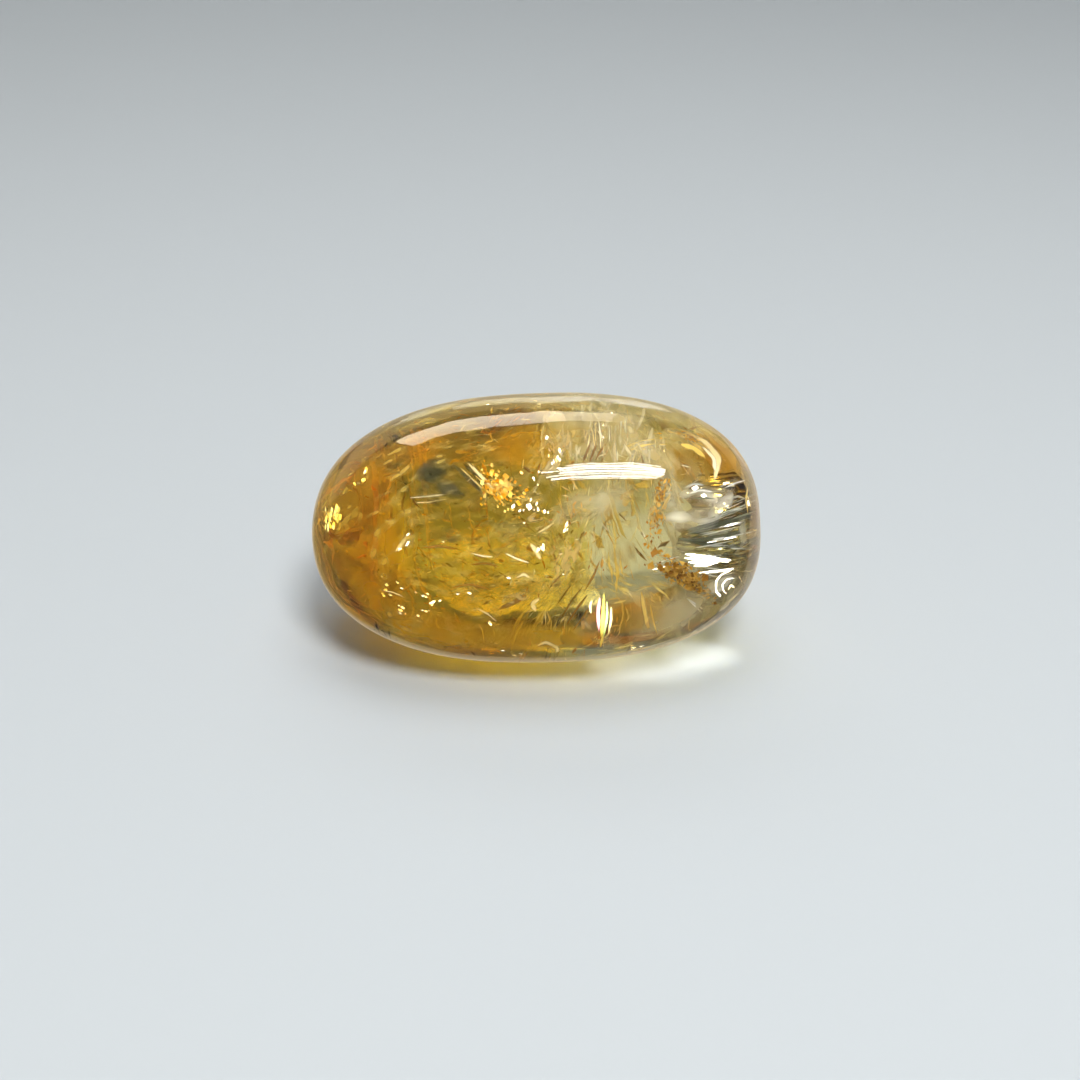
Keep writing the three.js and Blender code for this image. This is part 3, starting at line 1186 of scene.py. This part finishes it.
# %% Leaves
def toned(name, roughness, strength, metallic, tones):
    """A finish of several tones, from dark to pale, of which each leaf or ribbon picks one. With a strength,
    it fades out at its edges."""
    nodes, links, shader = start_material(
        name, Roughness=roughness, Specular_IOR_Level=0.25, Metallic=metallic
    )
    tone = add_node(nodes, "ShaderNodeAttribute", attribute_name="tone")
    ramp = add_node(nodes, "ShaderNodeValToRGB")
    stops = ramp.color_ramp.elements
    for number, colour in enumerate(tones):
        stop = stops[number] if number < 2 else stops.new(0.5)
        stop.position = number / (len(tones) - 1)
        stop.color = (*colour, 1)
    links.new(tone.outputs["Fac"], ramp.inputs["Fac"])
    links.new(ramp.outputs["Color"], shader.inputs["Base Color"])
    if strength is not None:
        fade = add_node(nodes, "ShaderNodeAttribute", attribute_name="fade")
        links.new(product(nodes, links, fade.outputs["Fac"], strength), shader.inputs["Alpha"])


LEAF_FINISHES = (
    # name and tones from dark to pale
    ("window_leaves", ((0.12, 0.08, 0.02), (0.36, 0.27, 0.07), (0.66, 0.50, 0.14), (1.0, 0.90, 0.52))),
    ("amber_leaves", ((0.22, 0.11, 0.01), (0.62, 0.38, 0.05), (0.85, 0.58, 0.14), (1.0, 0.92, 0.62))),
    ("straw_leaves", ((0.45, 0.34, 0.16), (0.88, 0.72, 0.42), (1.0, 0.90, 0.62), (1.0, 0.98, 0.85))),
    ("tan_leaves", ((0.22, 0.14, 0.04), (0.62, 0.46, 0.20), (0.95, 0.84, 0.54), (1.0, 0.98, 0.86))),
    ("rust_leaves", ((0.26, 0.10, 0.0), (0.52, 0.23, 0.01), (0.74, 0.38, 0.02), (0.92, 0.58, 0.10))),
)
for name, tones in LEAF_FINISHES:
    toned(name, 0.4, None, 0.0, tones)
print("leaf finishes:", len(LEAF_FINISHES))


# %% Fields of leaves
def leaves(name, count, pixel, spread, depths, flow, lengths, finish, facing, slim, seed, turn=0.0,
           loose=0.45, folded=0.6):
    """A cloud of tiny folded leaves, four points and two triangles each, about a pixel, most of them short.
    turn tilts the field, loose says how far a leaf strays from its facing and run, and folded how sharply it
    is folded."""
    random = np.random.default_rng(seed)
    found = spots(count, pixel, spread, depths, random, turn)
    place = np.array([one for one, _ in found])
    run = np.array([run_at(spot, flow) for _, spot in found])
    up = unit_rows(unit(facing) + random.normal(0, loose, (count, 3)))
    run = run + random.normal(0, loose, (count, 3))
    run = unit_rows(run - (run * up).sum(1)[:, None] * up)
    aside = np.cross(up, run)
    share = random.uniform(0, 1, count) ** 2.5
    length = (lengths[0] + (lengths[1] - lengths[0]) * share)[:, None] / 2 * MM
    width = length * slim * random.uniform(0.6, 1.5, (count, 1))
    fold = width * random.uniform(-folded, folded, (count, 1))
    shift = length * random.uniform(-0.5, 0.5, (count, 1))
    left_corner = aside * width + up * fold + run * shift
    right_corner = -aside * width + up * fold - run * shift
    corners = (run * length, left_corner, -run * length, right_corner)
    points = np.stack([place + corner for corner in corners], 1).reshape(-1, 3)
    first = np.arange(count) * 4
    halves = ((first, first + 1, first + 2), (first, first + 2, first + 3))
    faces = np.vstack([np.stack(half, 1) for half in halves])
    keep = share_out(points).reshape(count, 4).max(1) < SKIN
    faces = faces[np.tile(keep, 2)]
    used, faces = np.unique(faces, return_inverse=True)
    piece = mesh_object(name, points[used], faces.reshape(-1, 3), finish, smooth=False)
    tone = np.repeat(np.clip(random.normal(0.5, 0.28, count), 0, 1), 4)[used]
    carry(piece, "tone", tone)
    print(f"{name}: {len(faces) // 3 // 2} leaves")
    return part_of_stone(piece)


LEAF_FIELDS = (
    # name, count, middle, spread in pixels, depths in mm, run, lengths in mm, finish, facing, slimness, seed,
    # tilt of the field in degrees, looseness
    ("window_leaves", 900, WINDOW, (140, 110), (1.5, 12), LEVEL, (0.1, 0.65),
     "window_leaves", TILTED, 0.14, 61),
    ("end_leaves", 240, AMBER_END, (80, 230), (1.5, 9), LEVEL, (0.06, 0.25),
     "amber_leaves", FRONTAL, 0.5, 62, 0.0, 0.9),
    ("roof_leaves", 160, ROOF, (160, 50), (0.8, 7), (1, -0.25), (0.1, 0.8), "amber_leaves", TILTED, 0.15, 63),
    ("crown_leaves", 360, CROWN, (150, 75), (0.6, 8), UPRIGHT, (0.15, 1.0), "straw_leaves", TILTED, 0.1, 64),
    ("plume_leaves", 320, PLUME, (100, 150), (1.5, 9), SPREADING, (0.1, 0.9),
     "tan_leaves", FRONTAL, 0.12, 65),
    ("foot_leaves", 50, FOOT, (200, 55), (0.8, 6), (1, 0.1), (0.1, 0.7),
     "amber_leaves", FRONTAL, 0.15, 66),
    ("right_foot_leaves", 16, RIGHT_FOOT, (150, 60), (0.8, 6), UPRIGHT, (0.1, 0.8),
     "straw_leaves", FRONTAL, 0.12, 67),
    ("corner_leaves", 200, GOLD_CORNER, (100, 80), (0.8, 8), (1, 0.5), (0.1, 0.9),
     "tan_leaves", TILTED, 0.14, 68),
    ("back_leaves", 420, BACK, (330, 170), (11, 20), (1, 0.3), (0.1, 1.0), "tan_leaves", TILTED, 0.14, 60),
    ("clear_leaves", 80, CLEAR, (120, 150), (2, 12), (0.5, -1), (0.1, 0.6), "straw_leaves", TILTED, 0.12, 69),
)
for row in LEAF_FIELDS:
    leaves(*row)
for row in FLECK_FIELDS:
    flecks(*row)
print("leaves and flecks:", sum(row[1] for row in (*LEAF_FIELDS, *FLECK_FIELDS)))

# %% [markdown]
# ## Single marks
#
# A viewer remembers this stone by its single marks: a grey-green clear patch with a bright needle beside
# it, a glowing orange spot, whiskers under the crown, a rust stain, a rainbow streak. Each is a ribbon, a
# small sheet or a group of leaves, drawn through the pixels where it shows and sunk under the polish, so
# the marks shift against each other in other views, as the real ones do. What sparkles is metallic, because
# a metal mirrors a lamp as strongly as a film of air does.

# %% The finishes of the marks
TONED_FINISHES = (
    # name, roughness, strength, metallic, and tones from dark to pale
    # The next finish serves the dark needles, and the painted shade of the darker round in the grey-green
    # patch.
    ("dark_glass", 0.4, 0.75, 0.0,
     ((0.04, 0.04, 0.015), (0.14, 0.12, 0.04))),
    ("brown_streaks", 0.4, 0.95, 0.0,
     ((0.08, 0.04, 0.01), (0.28, 0.13, 0.02), (0.52, 0.28, 0.06))),
    ("pale_streaks", 0.4, 0.8, 0.0,
     ((0.85, 0.60, 0.25), (1.0, 0.86, 0.50), (1.0, 0.97, 0.80))),
    ("soft_streaks", 0.4, 0.35, 0.0,
     ((0.75, 0.52, 0.24), (0.95, 0.75, 0.38), (1.0, 0.94, 0.76))),
    # The next finish paints the reflection of the fan's cracks, from dark to white.
    ("silver_cracks", 0.3, 0.95, 0.0,
     ((0.07, 0.08, 0.05), (0.30, 0.31, 0.22), (0.78, 0.78, 0.68), (1.0, 1.0, 0.97))),
    ("rainbow_crack", 0.3, 0.9, 1.0,
     ((1.0, 0.45, 0.50), (1.0, 0.80, 0.15), (0.65, 0.95, 0.35), (1.0, 1.0, 0.80))),
    ("mirror_flakes", 0.2, None, 1.0,
     ((1.0, 0.62, 0.18), (1.0, 0.84, 0.45), (1.0, 0.95, 0.80), (1.0, 1.0, 1.0))),
    ("gleams", 0.55, 0.75, 1.0,
     ((0.62, 0.42, 0.09), (0.88, 0.64, 0.18), (1.0, 0.84, 0.46), (1.0, 0.98, 0.90))),
    ("glow_flakes", 0.4, None, 1.0,
     ((0.42, 0.15, 0.0), (0.52, 0.235, 0.005), (0.66, 0.37, 0.02), (0.93, 0.66, 0.18))),
)
for row in TONED_FINISHES:
    toned(*row)
print("finishes of the marks:", len(TONED_FINISHES))

# %% [markdown]
# ## The grey-green patch and the needles
#
# On the left a clear, grey-green patch looks dark, because nothing behind it glows. That darkness is
# painted shade: a few dark grey-green sheets close under the polish, with a darker round, make it. Bright
# needles beside it and in the window are ribbons that face so that they mirror the light in front.

# %% The grey-green patch and the needles
# Painted shade: dark grey-green sheets where the clear patch looks dark.
laid(
    "painted_shade_patch",
    (
        patch((437, 478), 0.9, (5.2, 4.0), (1, 0.5), 1, 0.1),
        patch((444, 482), 0.8, (3.6, 1.6), (1, 0.9), 6, 0.6),
        patch((452, 490), 0.7, (2.4, 1.2), (1, 0.3), 3, 0.6),
        patch((398, 462), 1.2, (2.4, 0.9), (1, -0.8), 4, 0.3),
        patch((455, 538), 1.2, (2.0, 1.4), (1, 0.1), 5, 0.2),
    ),
    "grey_glass",
    near=0.01,
)
# Painted shade: a darker round in the grey-green patch.
laid(
    "painted_shade_round",
    (
        patch((429, 470), 0.7, (2.6, 2.3), (1, 1), 2, 0.1),
        patch((432, 474), 0.8, (2.0, 1.4), (1, 0.6), 3, 0.3),
        patch((447, 487), 0.8, (1.8, 1.2), (1, 0.6), 4, 0.7),
    ),
    "dark_glass",
)
NEEDLES = (
    # the path in pixels, depth and width in mm, tone
    (((467, 462), (481, 476), (497, 493)), 1.2, 0.26, 1.0),
    (((459, 466), (470, 477), (484, 490)), 1.5, 0.14, 0.5),
    (((474, 474), (486, 486), (500, 497)), 1.5, 0.12, 0.3),
    (((409, 498), (432, 496), (456, 493)), 1.0, 0.12, 0.9),
    (((414, 503), (430, 502), (448, 499)), 1.2, 0.12, 0.6),
    (((395, 552), (401, 545), (407, 536)), 0.8, 0.30, 1.0),
    (((470, 553), (482, 556), (494, 557)), 1.5, 0.12, 0.8),
    (((505, 553), (517, 559), (530, 563)), 1.5, 0.14, 0.9),
    (((530, 543), (536, 551), (541, 560)), 0.8, 0.34, 1.0),
    (((476, 608), (488, 614), (497, 622)), 0.8, 0.12, 0.7),
    (((378, 590), (392, 592), (404, 597)), 0.6, 0.12, 0.9),
)
streaks("needles", NEEDLES, "gleams")
DARK_NEEDLES = (
    (((452, 464), (468, 478), (484, 495)), 1.4, 0.40, 0.3),
    (((462, 462), (477, 477), (492, 494)), 1.6, 0.30, 0.1),
    (((436, 482), (450, 488), (466, 496)), 1.5, 0.40, 0.5),
)
streaks("dark_needles", DARK_NEEDLES, "dark_glass", TILTED)

# %% [markdown]
# ## Sparkles
#
# Small flakes flash where they face just so between the lamp and the eye. A group of leaves that all face
# that way, with little play, gives such a flash. The glowing orange spot is the largest group, of flakes
# with orange tones.

# %% Sparkles
def sparkle(name, pixel, spread, count, lengths, flow, finish="mirror_flakes", depths=(0.5, 1.6), slim=0.5,
            seed=1):
    """A group of bright flakes about a pixel that mirror the light in front to the viewer."""
    facing = facing_lamp(*pixel, sum(depths) / 2, FRONT)
    field = (name, count, pixel, spread, depths, flow, lengths, finish, facing, slim, seed)
    return leaves(*field, loose=0.08, folded=0.1)


sparkle("glow", (498, 486), (19, 26), 120, (0.2, 0.65), (0.4, 1), "glow_flakes", (0.7, 1.8), 0.7, 66)
sparkle("glow_right", (518, 498), (36, 20), 24, (0.15, 0.5), (1, 0.4), "glow_flakes", (0.8, 2.0), 0.6, 67)
sparkle("roof_glow", (372, 440), (70, 50), 6, (0.2, 0.5), (1, -0.6), "glow_flakes", (0.6, 2.0), 0.5, 68)
sparkle("tuft", (558, 457), (10, 8), 9, (0.3, 0.7), (0.1, 1), "mirror_flakes", (0.5, 1.2), 0.25, 69)
SPARKLES = (
    # pixel, spread in pixels, count, lengths in mm, flow
    ((333, 517), (9, 13), 26, (0.4, 1.0), (0.4, 1)),
    ((365, 470), (5, 9), 4, (0.3, 0.5), (0.2, 1)),
    ((356, 484), (10, 6), 3, (0.3, 0.6), (1, 0.8)),
    ((402, 545), (8, 12), 4, (0.3, 0.7), (1, -1.2)),
    ((398, 587), (18, 5), 5, (0.15, 0.45), (1, 0.3)),
    ((384, 595), (8, 5), 3, (0.15, 0.4), (1, 0.4)),
    ((423, 594), (10, 5), 4, (0.15, 0.4), (1, 0.4)),
    ((400, 611), (12, 7), 5, (0.15, 0.4), (1, 0.4)),
    ((419, 612), (13, 5), 5, (0.15, 0.45), (1, 0.2)),
    ((436, 602), (7, 5), 4, (0.25, 0.5), (1, -0.7)),
    ((489, 624), (3, 5), 2, (0.2, 0.45), (0.4, 1)),
    ((538, 554), (6, 9), 4, (0.3, 0.6), (0.5, 1)),
    ((566, 528), (4, 8), 4, (0.25, 0.5), (-0.4, 1)),
    ((532, 508), (20, 12), 16, (0.15, 0.5), (0.3, -1)),
    ((528, 477), (20, 10), 5, (0.15, 0.4), (0.3, 1)),
    ((600, 430), (90, 40), 8, (0.15, 0.5), (0.1, 1)),
    ((490, 399), (90, 8), 10, (0.1, 0.35), (1, 0)),
    ((372, 425), (40, 14), 4, (0.1, 0.4), (1, -0.6)),
    ((642, 648), (16, 4), 6, (0.3, 0.7), (1, -0.25)),
    ((560, 655), (60, 10), 8, (0.15, 0.5), (1, 0.3)),
    ((746, 498), (8, 14), 5, (0.2, 0.6), (0.2, 1)),
    ((694, 490), (20, 6), 7, (0.15, 0.5), (1, 0)),
    ((728, 482), (16, 8), 6, (0.15, 0.5), (1, -0.4)),
    ((728, 509), (12, 8), 5, (0.15, 0.4), (1, 0.2)),
    ((450, 560), (180, 110), 14, (0.12, 0.35), (1, 0.2)),
)
for number, row in enumerate(SPARKLES):
    sparkle(f"sparkle_{number}", *row, seed=70 + number)
print("sparkles:", sum(row[2] for row in SPARKLES))

# %% [markdown]
# ## Threads and needles in the middle
#
# Under the crown hang fine upright threads, more than anyone would draw one by one, so a random function
# draws them between two columns of pixels. The brown needles of the plume are single marks from the
# picture.

# %% Threads and needles in the middle
random = np.random.default_rng(90)


def whiskers(name, count, left, right, lengths, widths, finish):
    """Upright threads under the crown, between two columns of pixels. Lengths in pixels, widths in mm."""
    threads = []
    for number in range(count):
        x, y = random.normal((left + right) / 2, (right - left) / 4), random.uniform(400, 450)
        long, lean = random.uniform(*lengths), random.normal(0, 4)
        path = ((x, y), (x + lean * 0.4 + random.normal(0, 1), y + long / 2), (x + lean, y + long))
        width, depth, tone = random.uniform(*widths), random.uniform(0.6, 3), random.uniform(0, 1)
        threads.append(ribbon(path, depth, width, TILTED, number, tone))
    return laid(name, threads, finish)


whiskers("soft_threads", 44, 520, 670, (8, 30), (0.15, 0.5), "soft_streaks")
whiskers("whiskers", 14, 560, 652, (8, 26), (0.05, 0.12), "pale_streaks")
whiskers("gold_threads", 12, 566, 600, (10, 26), (0.10, 0.22), "soft_streaks")
BROWN_NEEDLES = (
    # the path in pixels, depth and width in mm, tone
    (((583, 462), (587, 452), (591, 441)), 1.0, 0.20, 0.2),
    (((589, 464), (593, 453), (597, 443)), 1.2, 0.17, 0.3),
    (((595, 461), (600, 452), (606, 443)), 1.4, 0.17, 0.4),
    (((600, 466), (603, 458), (609, 449)), 1.6, 0.10, 0.4),
    (((618, 482), (621, 474), (624, 467)), 0.7, 0.14, 0.1),
    (((640, 452), (643, 461), (644, 470)), 1.0, 0.12, 0.2),
    (((522, 466), (527, 469), (530, 473)), 0.8, 0.20, 0.3),
    (((566, 626), (576, 610), (588, 594)), 1.4, 0.22, 0.5),
    (((561, 618), (571, 602), (583, 586)), 1.8, 0.18, 0.4),
    (((572, 632), (583, 617), (594, 600)), 1.6, 0.14, 0.6),
    (((556, 606), (563, 596), (572, 584)), 1.2, 0.14, 0.2),
    (((548, 590), (556, 580), (566, 570)), 1.6, 0.12, 0.4),
    (((600, 560), (594, 575), (584, 592)), 2.0, 0.20, 0.6),
    (((470, 565), (486, 563), (500, 567)), 1.8, 0.20, 0.6),
    (((420, 548), (440, 546), (462, 550)), 1.8, 0.20, 0.6),
    (((450, 588), (470, 584), (492, 590)), 1.8, 0.22, 0.7),
    (((497, 610), (515, 602), (527, 594)), 1.4, 0.50, 0.8),
    (((382, 478), (390, 474), (399, 473)), 1.4, 0.20, 0.5),
)
streaks("brown_needles", BROWN_NEEDLES, "brown_streaks", TILTED)

# %% [markdown]
# ## The rainbow streak
#
# A film of air of less than a thousandth of a millimetre splits the light that it mirrors into colours.
# Ribbons side by side, each in one clear colour, all facing so that they mirror the light in front, give
# the same streak.

# %% The rainbow streak
RAINBOW_STREAKS = (
    # the path in pixels, depth and width in mm, tone
    (((600, 596), (598, 612), (599, 632)), 1.4, 0.30, 0.0),
    (((604, 592), (603, 616), (601, 646)), 1.3, 0.30, 0.33),
    (((607, 600), (607, 618), (603, 640)), 1.2, 0.22, 1.0),
    (((611, 606), (611, 620), (608, 636)), 1.3, 0.20, 0.66),
    (((592, 600), (590, 606), (591, 614)), 1.5, 0.20, 0.66),
    (((603, 632), (602, 640), (600, 648)), 1.2, 0.24, 0.4),
)
streaks("rainbow_streak", RAINBOW_STREAKS, "rainbow_crack", facing_lamp(603, 620, 1.3, FRONT), flat=True)

# %% [markdown]
# ## Rust and cream on the right
#
# Iron seeped into a crack on the right and left a stain of rust grains, with a band and an arch of the same
# above it. Each is a tilted field of leaves, close under the polish. Brown bands lie beneath them, and
# cream patches fill the clear hollows.

# %% Rust and cream on the right
RUST_GRAINS = (
    # name, count, middle, spread in pixels, depths and run; lengths in mm, finish, facing, slimness, seed,
    # tilt in degrees
    ("stain", 250, (676, 571), (34, 13), (0.7, 1.2), (1, 0.6), (0.2, 0.7),
     "rust_leaves", TILTED, 0.75, 92, 30),
    ("stain_tail", 130, (696, 586), (32, 7), (0.7, 1.2), (1, 0.7), (0.2, 0.5),
     "rust_leaves", TILTED, 0.6, 93, 38),
    ("rust_band", 90, (661, 500), (9, 56), (0.9, 1.6), (-0.3, 1), (0.2, 0.6),
     "rust_leaves", TILTED, 0.5, 94, 14),
    ("rust_arch", 50, (690, 437), (34, 8), (0.9, 1.4), (1, 0.2), (0.2, 0.5),
     "rust_leaves", TILTED, 0.5, 95, 12),
)
for row in RUST_GRAINS:
    leaves(*row)
print("rust grains:", sum(row[1] for row in RUST_GRAINS))
laid(
    "brown_bands",
    (
        patch((684, 434), 1.0, (3.0, 1.2), (1, 0.1), 5, 0.7),
        patch((697, 442), 1.3, (2.0, 1.2), (1, 0.9), 6, 0.8),
        patch((661, 498), 1.5, (2.8, 1.3), (-0.45, 1), 7, 0.6),
        patch((655, 516), 1.5, (2.2, 1.2), (-0.3, 1), 8, 0.4),
        patch((519, 597), 1.0, (1.9, 1.1), (1, -0.4), 9, 0.3),
        patch((535, 519), 1.1, (1.2, 0.6), (1, -0.1), 10, 0.2),
        patch((700, 590), 1.4, (2.2, 0.8), (1, 0.5), 11, 0.7),
        patch((402, 470), 1.6, (2.2, 0.7), (1, -0.9), 12, 0.4),
        patch((566, 560), 2.2, (4.0, 1.6), (-0.5, 1), 13, 0.7, FRONTAL),
    ),
    "brown_band",
)
laid(
    "cream_patches",
    (
        patch((694, 508), 2.0, (5.0, 3.6), (1, -0.1), 1, 0.6, bend=0.3),
        patch((722, 498), 1.6, (2.6, 1.8), (1, -0.2), 2, 0.8, bend=0.3),
        patch((722, 584), 1.2, (2.8, 1.8), (1, -0.3), 3, 0.7),
        patch((728, 604), 0.8, (2.2, 1.2), (1, -0.8), 4, 0.6),
        patch((712, 570), 1.6, (3.4, 1.2), (1, 0.1), 5, 0.8),
        patch((745, 540), 0.8, (1.2, 3.4), (1, -0.2), 6, 0.5, FRONTAL),
    ),
    "cream_patch",
)

# %% [markdown]
# ## Gleams
#
# Curved edges inside the stone catch the light as golden or white lines: the arc in the upper right corner,
# the golden line beside the rainbow, and the pale gleams along the lower rim.

# %% Gleams
GLEAM_ROWS = (
    # the path in pixels, depth and width in mm, tone
    (((690, 434), (706, 442), (719, 458), (714, 482)), 1.0, 0.70, 0.6),
    (((702, 446), (714, 458), (715, 472)), 1.2, 0.40, 0.8),
    (((680, 444), (694, 448), (706, 458)), 1.4, 0.60, 0.3),
    (((641, 590), (645, 614), (653, 646)), 1.0, 0.36, 0.15),
    (((650, 604), (653, 620), (657, 634)), 1.2, 0.16, 0.3),
    (((612, 657), (636, 655), (660, 651)), 0.8, 0.70, 0.9),
    (((648, 654), (672, 650), (698, 641)), 0.8, 0.80, 1.0),
    (((690, 645), (712, 634), (730, 616)), 0.8, 0.70, 0.9),
    (((628, 651), (640, 649), (652, 646)), 0.8, 0.45, 1.0),
    (((540, 598), (532, 604), (536, 612)), 1.0, 0.35, 0.5),
    (((536, 646), (546, 642), (558, 648), (556, 656)), 0.9, 0.30, 0.55),
    (((530, 578), (524, 574), (516, 578)), 1.2, 0.20, 0.7),
    (((688, 600), (695, 606), (702, 613)), 0.9, 0.12, 0.9),
    (((748, 486), (746, 500), (748, 514)), 0.9, 0.30, 0.4),
)
streaks("gleams", GLEAM_ROWS, "gleams", near=0.01)

# %% [markdown]
# ## The fan and the white wedge
#
# The blunt end holds a fan of silver cracks that spread from one point towards the rim. Their silver, grey
# and white is painted reflection: matt ribbons in tones from dark to white. Those that the picture shows
# plainly are listed, and a random function adds thin ones between them. The white wedge is a bundle of
# ribbons that all mirror the light in front.

# %% The fan and the white wedge
FAN_ROWS = (
    # the path in pixels, depth and width in mm, tone of the painted reflection from dark to white
    (((682, 531), (716, 525), (756, 514)), 1.6, 0.60, 0.05),
    (((690, 541), (722, 537), (757, 526)), 1.4, 0.50, 0.10),
    (((676, 538), (706, 544), (744, 546)), 1.8, 0.50, 0.15),
    (((700, 536), (720, 531), (742, 526)), 1.0, 0.16, 1.0),
    (((712, 543), (732, 536), (756, 531)), 1.0, 0.14, 0.9),
    (((694, 548), (712, 545), (735, 540)), 1.2, 0.16, 0.8),
    (((690, 560), (706, 568), (730, 570)), 1.4, 0.14, 0.9),
    (((700, 572), (716, 577), (736, 572)), 1.2, 0.18, 0.7),
    (((688, 494), (700, 490), (714, 492)), 1.0, 0.22, 0.9),
    (((692, 499), (704, 498), (716, 499)), 0.9, 0.16, 0.2),
    (((724, 488), (736, 483), (746, 480)), 0.9, 0.18, 0.9),
    (((726, 500), (738, 496), (748, 500)), 1.0, 0.20, 0.5),
    (((720, 514), (732, 510), (744, 508)), 0.9, 0.18, 1.0),
    (((730, 520), (744, 515), (756, 511)), 0.8, 0.22, 0.3),
    (((652, 566), (666, 560), (680, 556)), 1.2, 0.12, 0.9),
    (((650, 574), (668, 572), (684, 574)), 1.4, 0.10, 0.8),
    (((686, 598), (696, 604), (704, 610)), 1.0, 0.16, 0.7),
)
THIN_CRACKS = 46
fan_rows = list(FAN_ROWS)
for _ in range(THIN_CRACKS):
    swing = random.uniform(-0.35, 0.22)
    start, long = random.uniform(14, 60), random.uniform(12, 38)
    x, y = FAN_ROOT[0] + start, FAN_ROOT[1] - 10 + swing * start * 1.6 + random.normal(0, 5)
    path = ((x, y), (x + long / 2, y + swing * long / 2 - 1), (x + long, y + swing * long - 3))
    width, depth, tone = random.uniform(0.05, 0.24), random.uniform(0.7, 2.2), random.uniform(0, 1)
    fan_rows.append((path, depth, width, tone))
# Painted reflection: the fan's cracks as matt ribbons from dark to white.
streaks("fan_painted_reflections", fan_rows, "silver_cracks", TILTED)
WEDGE_ROWS = (
    # the path in pixels, depth and width in mm, tone
    (((685, 554), (698, 556), (716, 558)), 1.1, 0.22, 1.0),
    (((684, 558), (702, 559), (720, 560), (741, 562)), 1.1, 0.30, 1.0),
    (((688, 562), (702, 563), (718, 563)), 1.0, 0.24, 0.9),
    (((693, 566), (703, 566), (712, 565)), 1.0, 0.10, 0.6),
    (((697, 573), (720, 571), (745, 567)), 1.0, 0.16, 0.9),
    (((716, 528), (734, 524), (752, 520)), 1.0, 0.12, 0.9),
    (((706, 543), (724, 539), (742, 536)), 1.0, 0.10, 0.9),
    (((684, 488), (694, 484), (704, 485)), 1.0, 0.14, 0.9),
    (((720, 487), (730, 481), (739, 478)), 0.9, 0.14, 0.9),
    (((688, 430), (694, 428), (700, 425)), 0.9, 0.22, 0.9),
    (((652, 570), (664, 567), (678, 566)), 1.0, 0.10, 0.7),
)
streaks("white_wedge", WEDGE_ROWS, "mirror_flakes", facing_lamp(712, 560, 1.1, FRONT), flat=True, first=5)

# %% [markdown]
# ## The knock mark
#
# Where the stone once knocked against another, a small cone crack shows as rings low on the blunt end. Four
# arcs, just under the polish, all mirror the light in front.

# %% The knock mark
KNOCK_ARCS = (
    # the path in pixels, depth and width in mm, tone
    (((736, 601), (725, 600), (716, 592), (716, 581), (722, 574), (731, 571)), 0.8, 0.13, 1.0),
    (((731, 596), (724, 592), (722, 585), (727, 579), (735, 578)), 0.8, 0.07, 0.9),
    (((739, 576), (744, 585), (742, 595), (736, 601)), 0.8, 0.06, 0.6),
    (((728, 590), (731, 585), (735, 588)), 0.8, 0.12, 0.6),
)
streaks("knock_ring", KNOCK_ARCS, "mirror_flakes", facing_lamp(728, 587, 0.8, FRONT), flat=True, near=0.006)

# %% [markdown]
# ## Open cracks
#
# Behind the fan lie a few open cracks. Each is a thin, wide tongue of air with a wavy surface. Its shader
# takes the IOR as seen from outside, so it is 1 over that of quartz. Light inside the quartz meets the air
# at a low angle as it would a mirror, so the cracks look silver, grey or white by turns.

# %% Open cracks
start_material(
    "air_gap", Base_Color=(1, 1, 1, 1), Roughness=0.02, IOR=1 / QUARTZ_IOR, Transmission_Weight=1.0
)
TONGUE_BALL, TONGUE_FACES = even_ball(5)
GAP = 0.06
CRACK_BEND = 0.3
CRACK_RIPPLE = 0.1
RAGGED = 0.25


def open_crack(name, pixel, depth, facing, along, size, seed):
    """A closed tongue of air behind a pixel. size is its length and width in mm."""
    centre, _ = inside(*pixel, depth)
    facing, along, aside = axes(facing, along)
    x, y, z = TONGUE_BALL.T
    turn = np.arctan2(y, x)
    edge = np.stack((np.cos(turn), np.sin(turn), np.zeros(len(turn))), 1)
    outline = 1 + RAGGED * rough(edge * MM, 0.7, seed)
    u, v = x * outline * size[0] / 2, y * outline * size[1] / 2
    stretched = np.stack((u * 0.12, v, np.zeros(len(u))), 1) * MM
    lift = CRACK_BEND * (u / size[0] * 2) ** 2 + CRACK_RIPPLE * rough(stretched, 0.8, seed + 3)
    points = centre + (np.outer(u, along) + np.outer(v, aside) + np.outer(lift + z * GAP / 2, facing)) * MM
    outer = share_out(points)
    pull = np.where(outer > SKIN, SKIN / outer, 1.0)[:, None]
    return part_of_stone(mesh_object(name, HEART + (points - HEART) * pull, TONGUE_FACES, "air_gap"))


FAN_CRACKS = (
    # pixel, depth, facing, along, size
    ((722, 500), 4.0, (0.0, -0.35, 1), (1, 0.2, 0.1), (4.6, 3.6)),
    ((722, 528), 4.0, (0.0, -0.25, 1), (1, 0.1, 0.1), (5.2, 4.0)),
    ((714, 546), 4.0, (0.05, -0.3, 1), (1, 0.1, -0.05), (5.0, 3.4)),
    ((735, 560), 3.0, (0.1, -0.1, 1), (1, 0.1, 0.2), (3.0, 3.2)),
)
for number, row in enumerate(FAN_CRACKS):
    open_crack(f"fan_crack_{number}", *row, seed=31 + number)
print("fan cracks:", len(FAN_CRACKS))
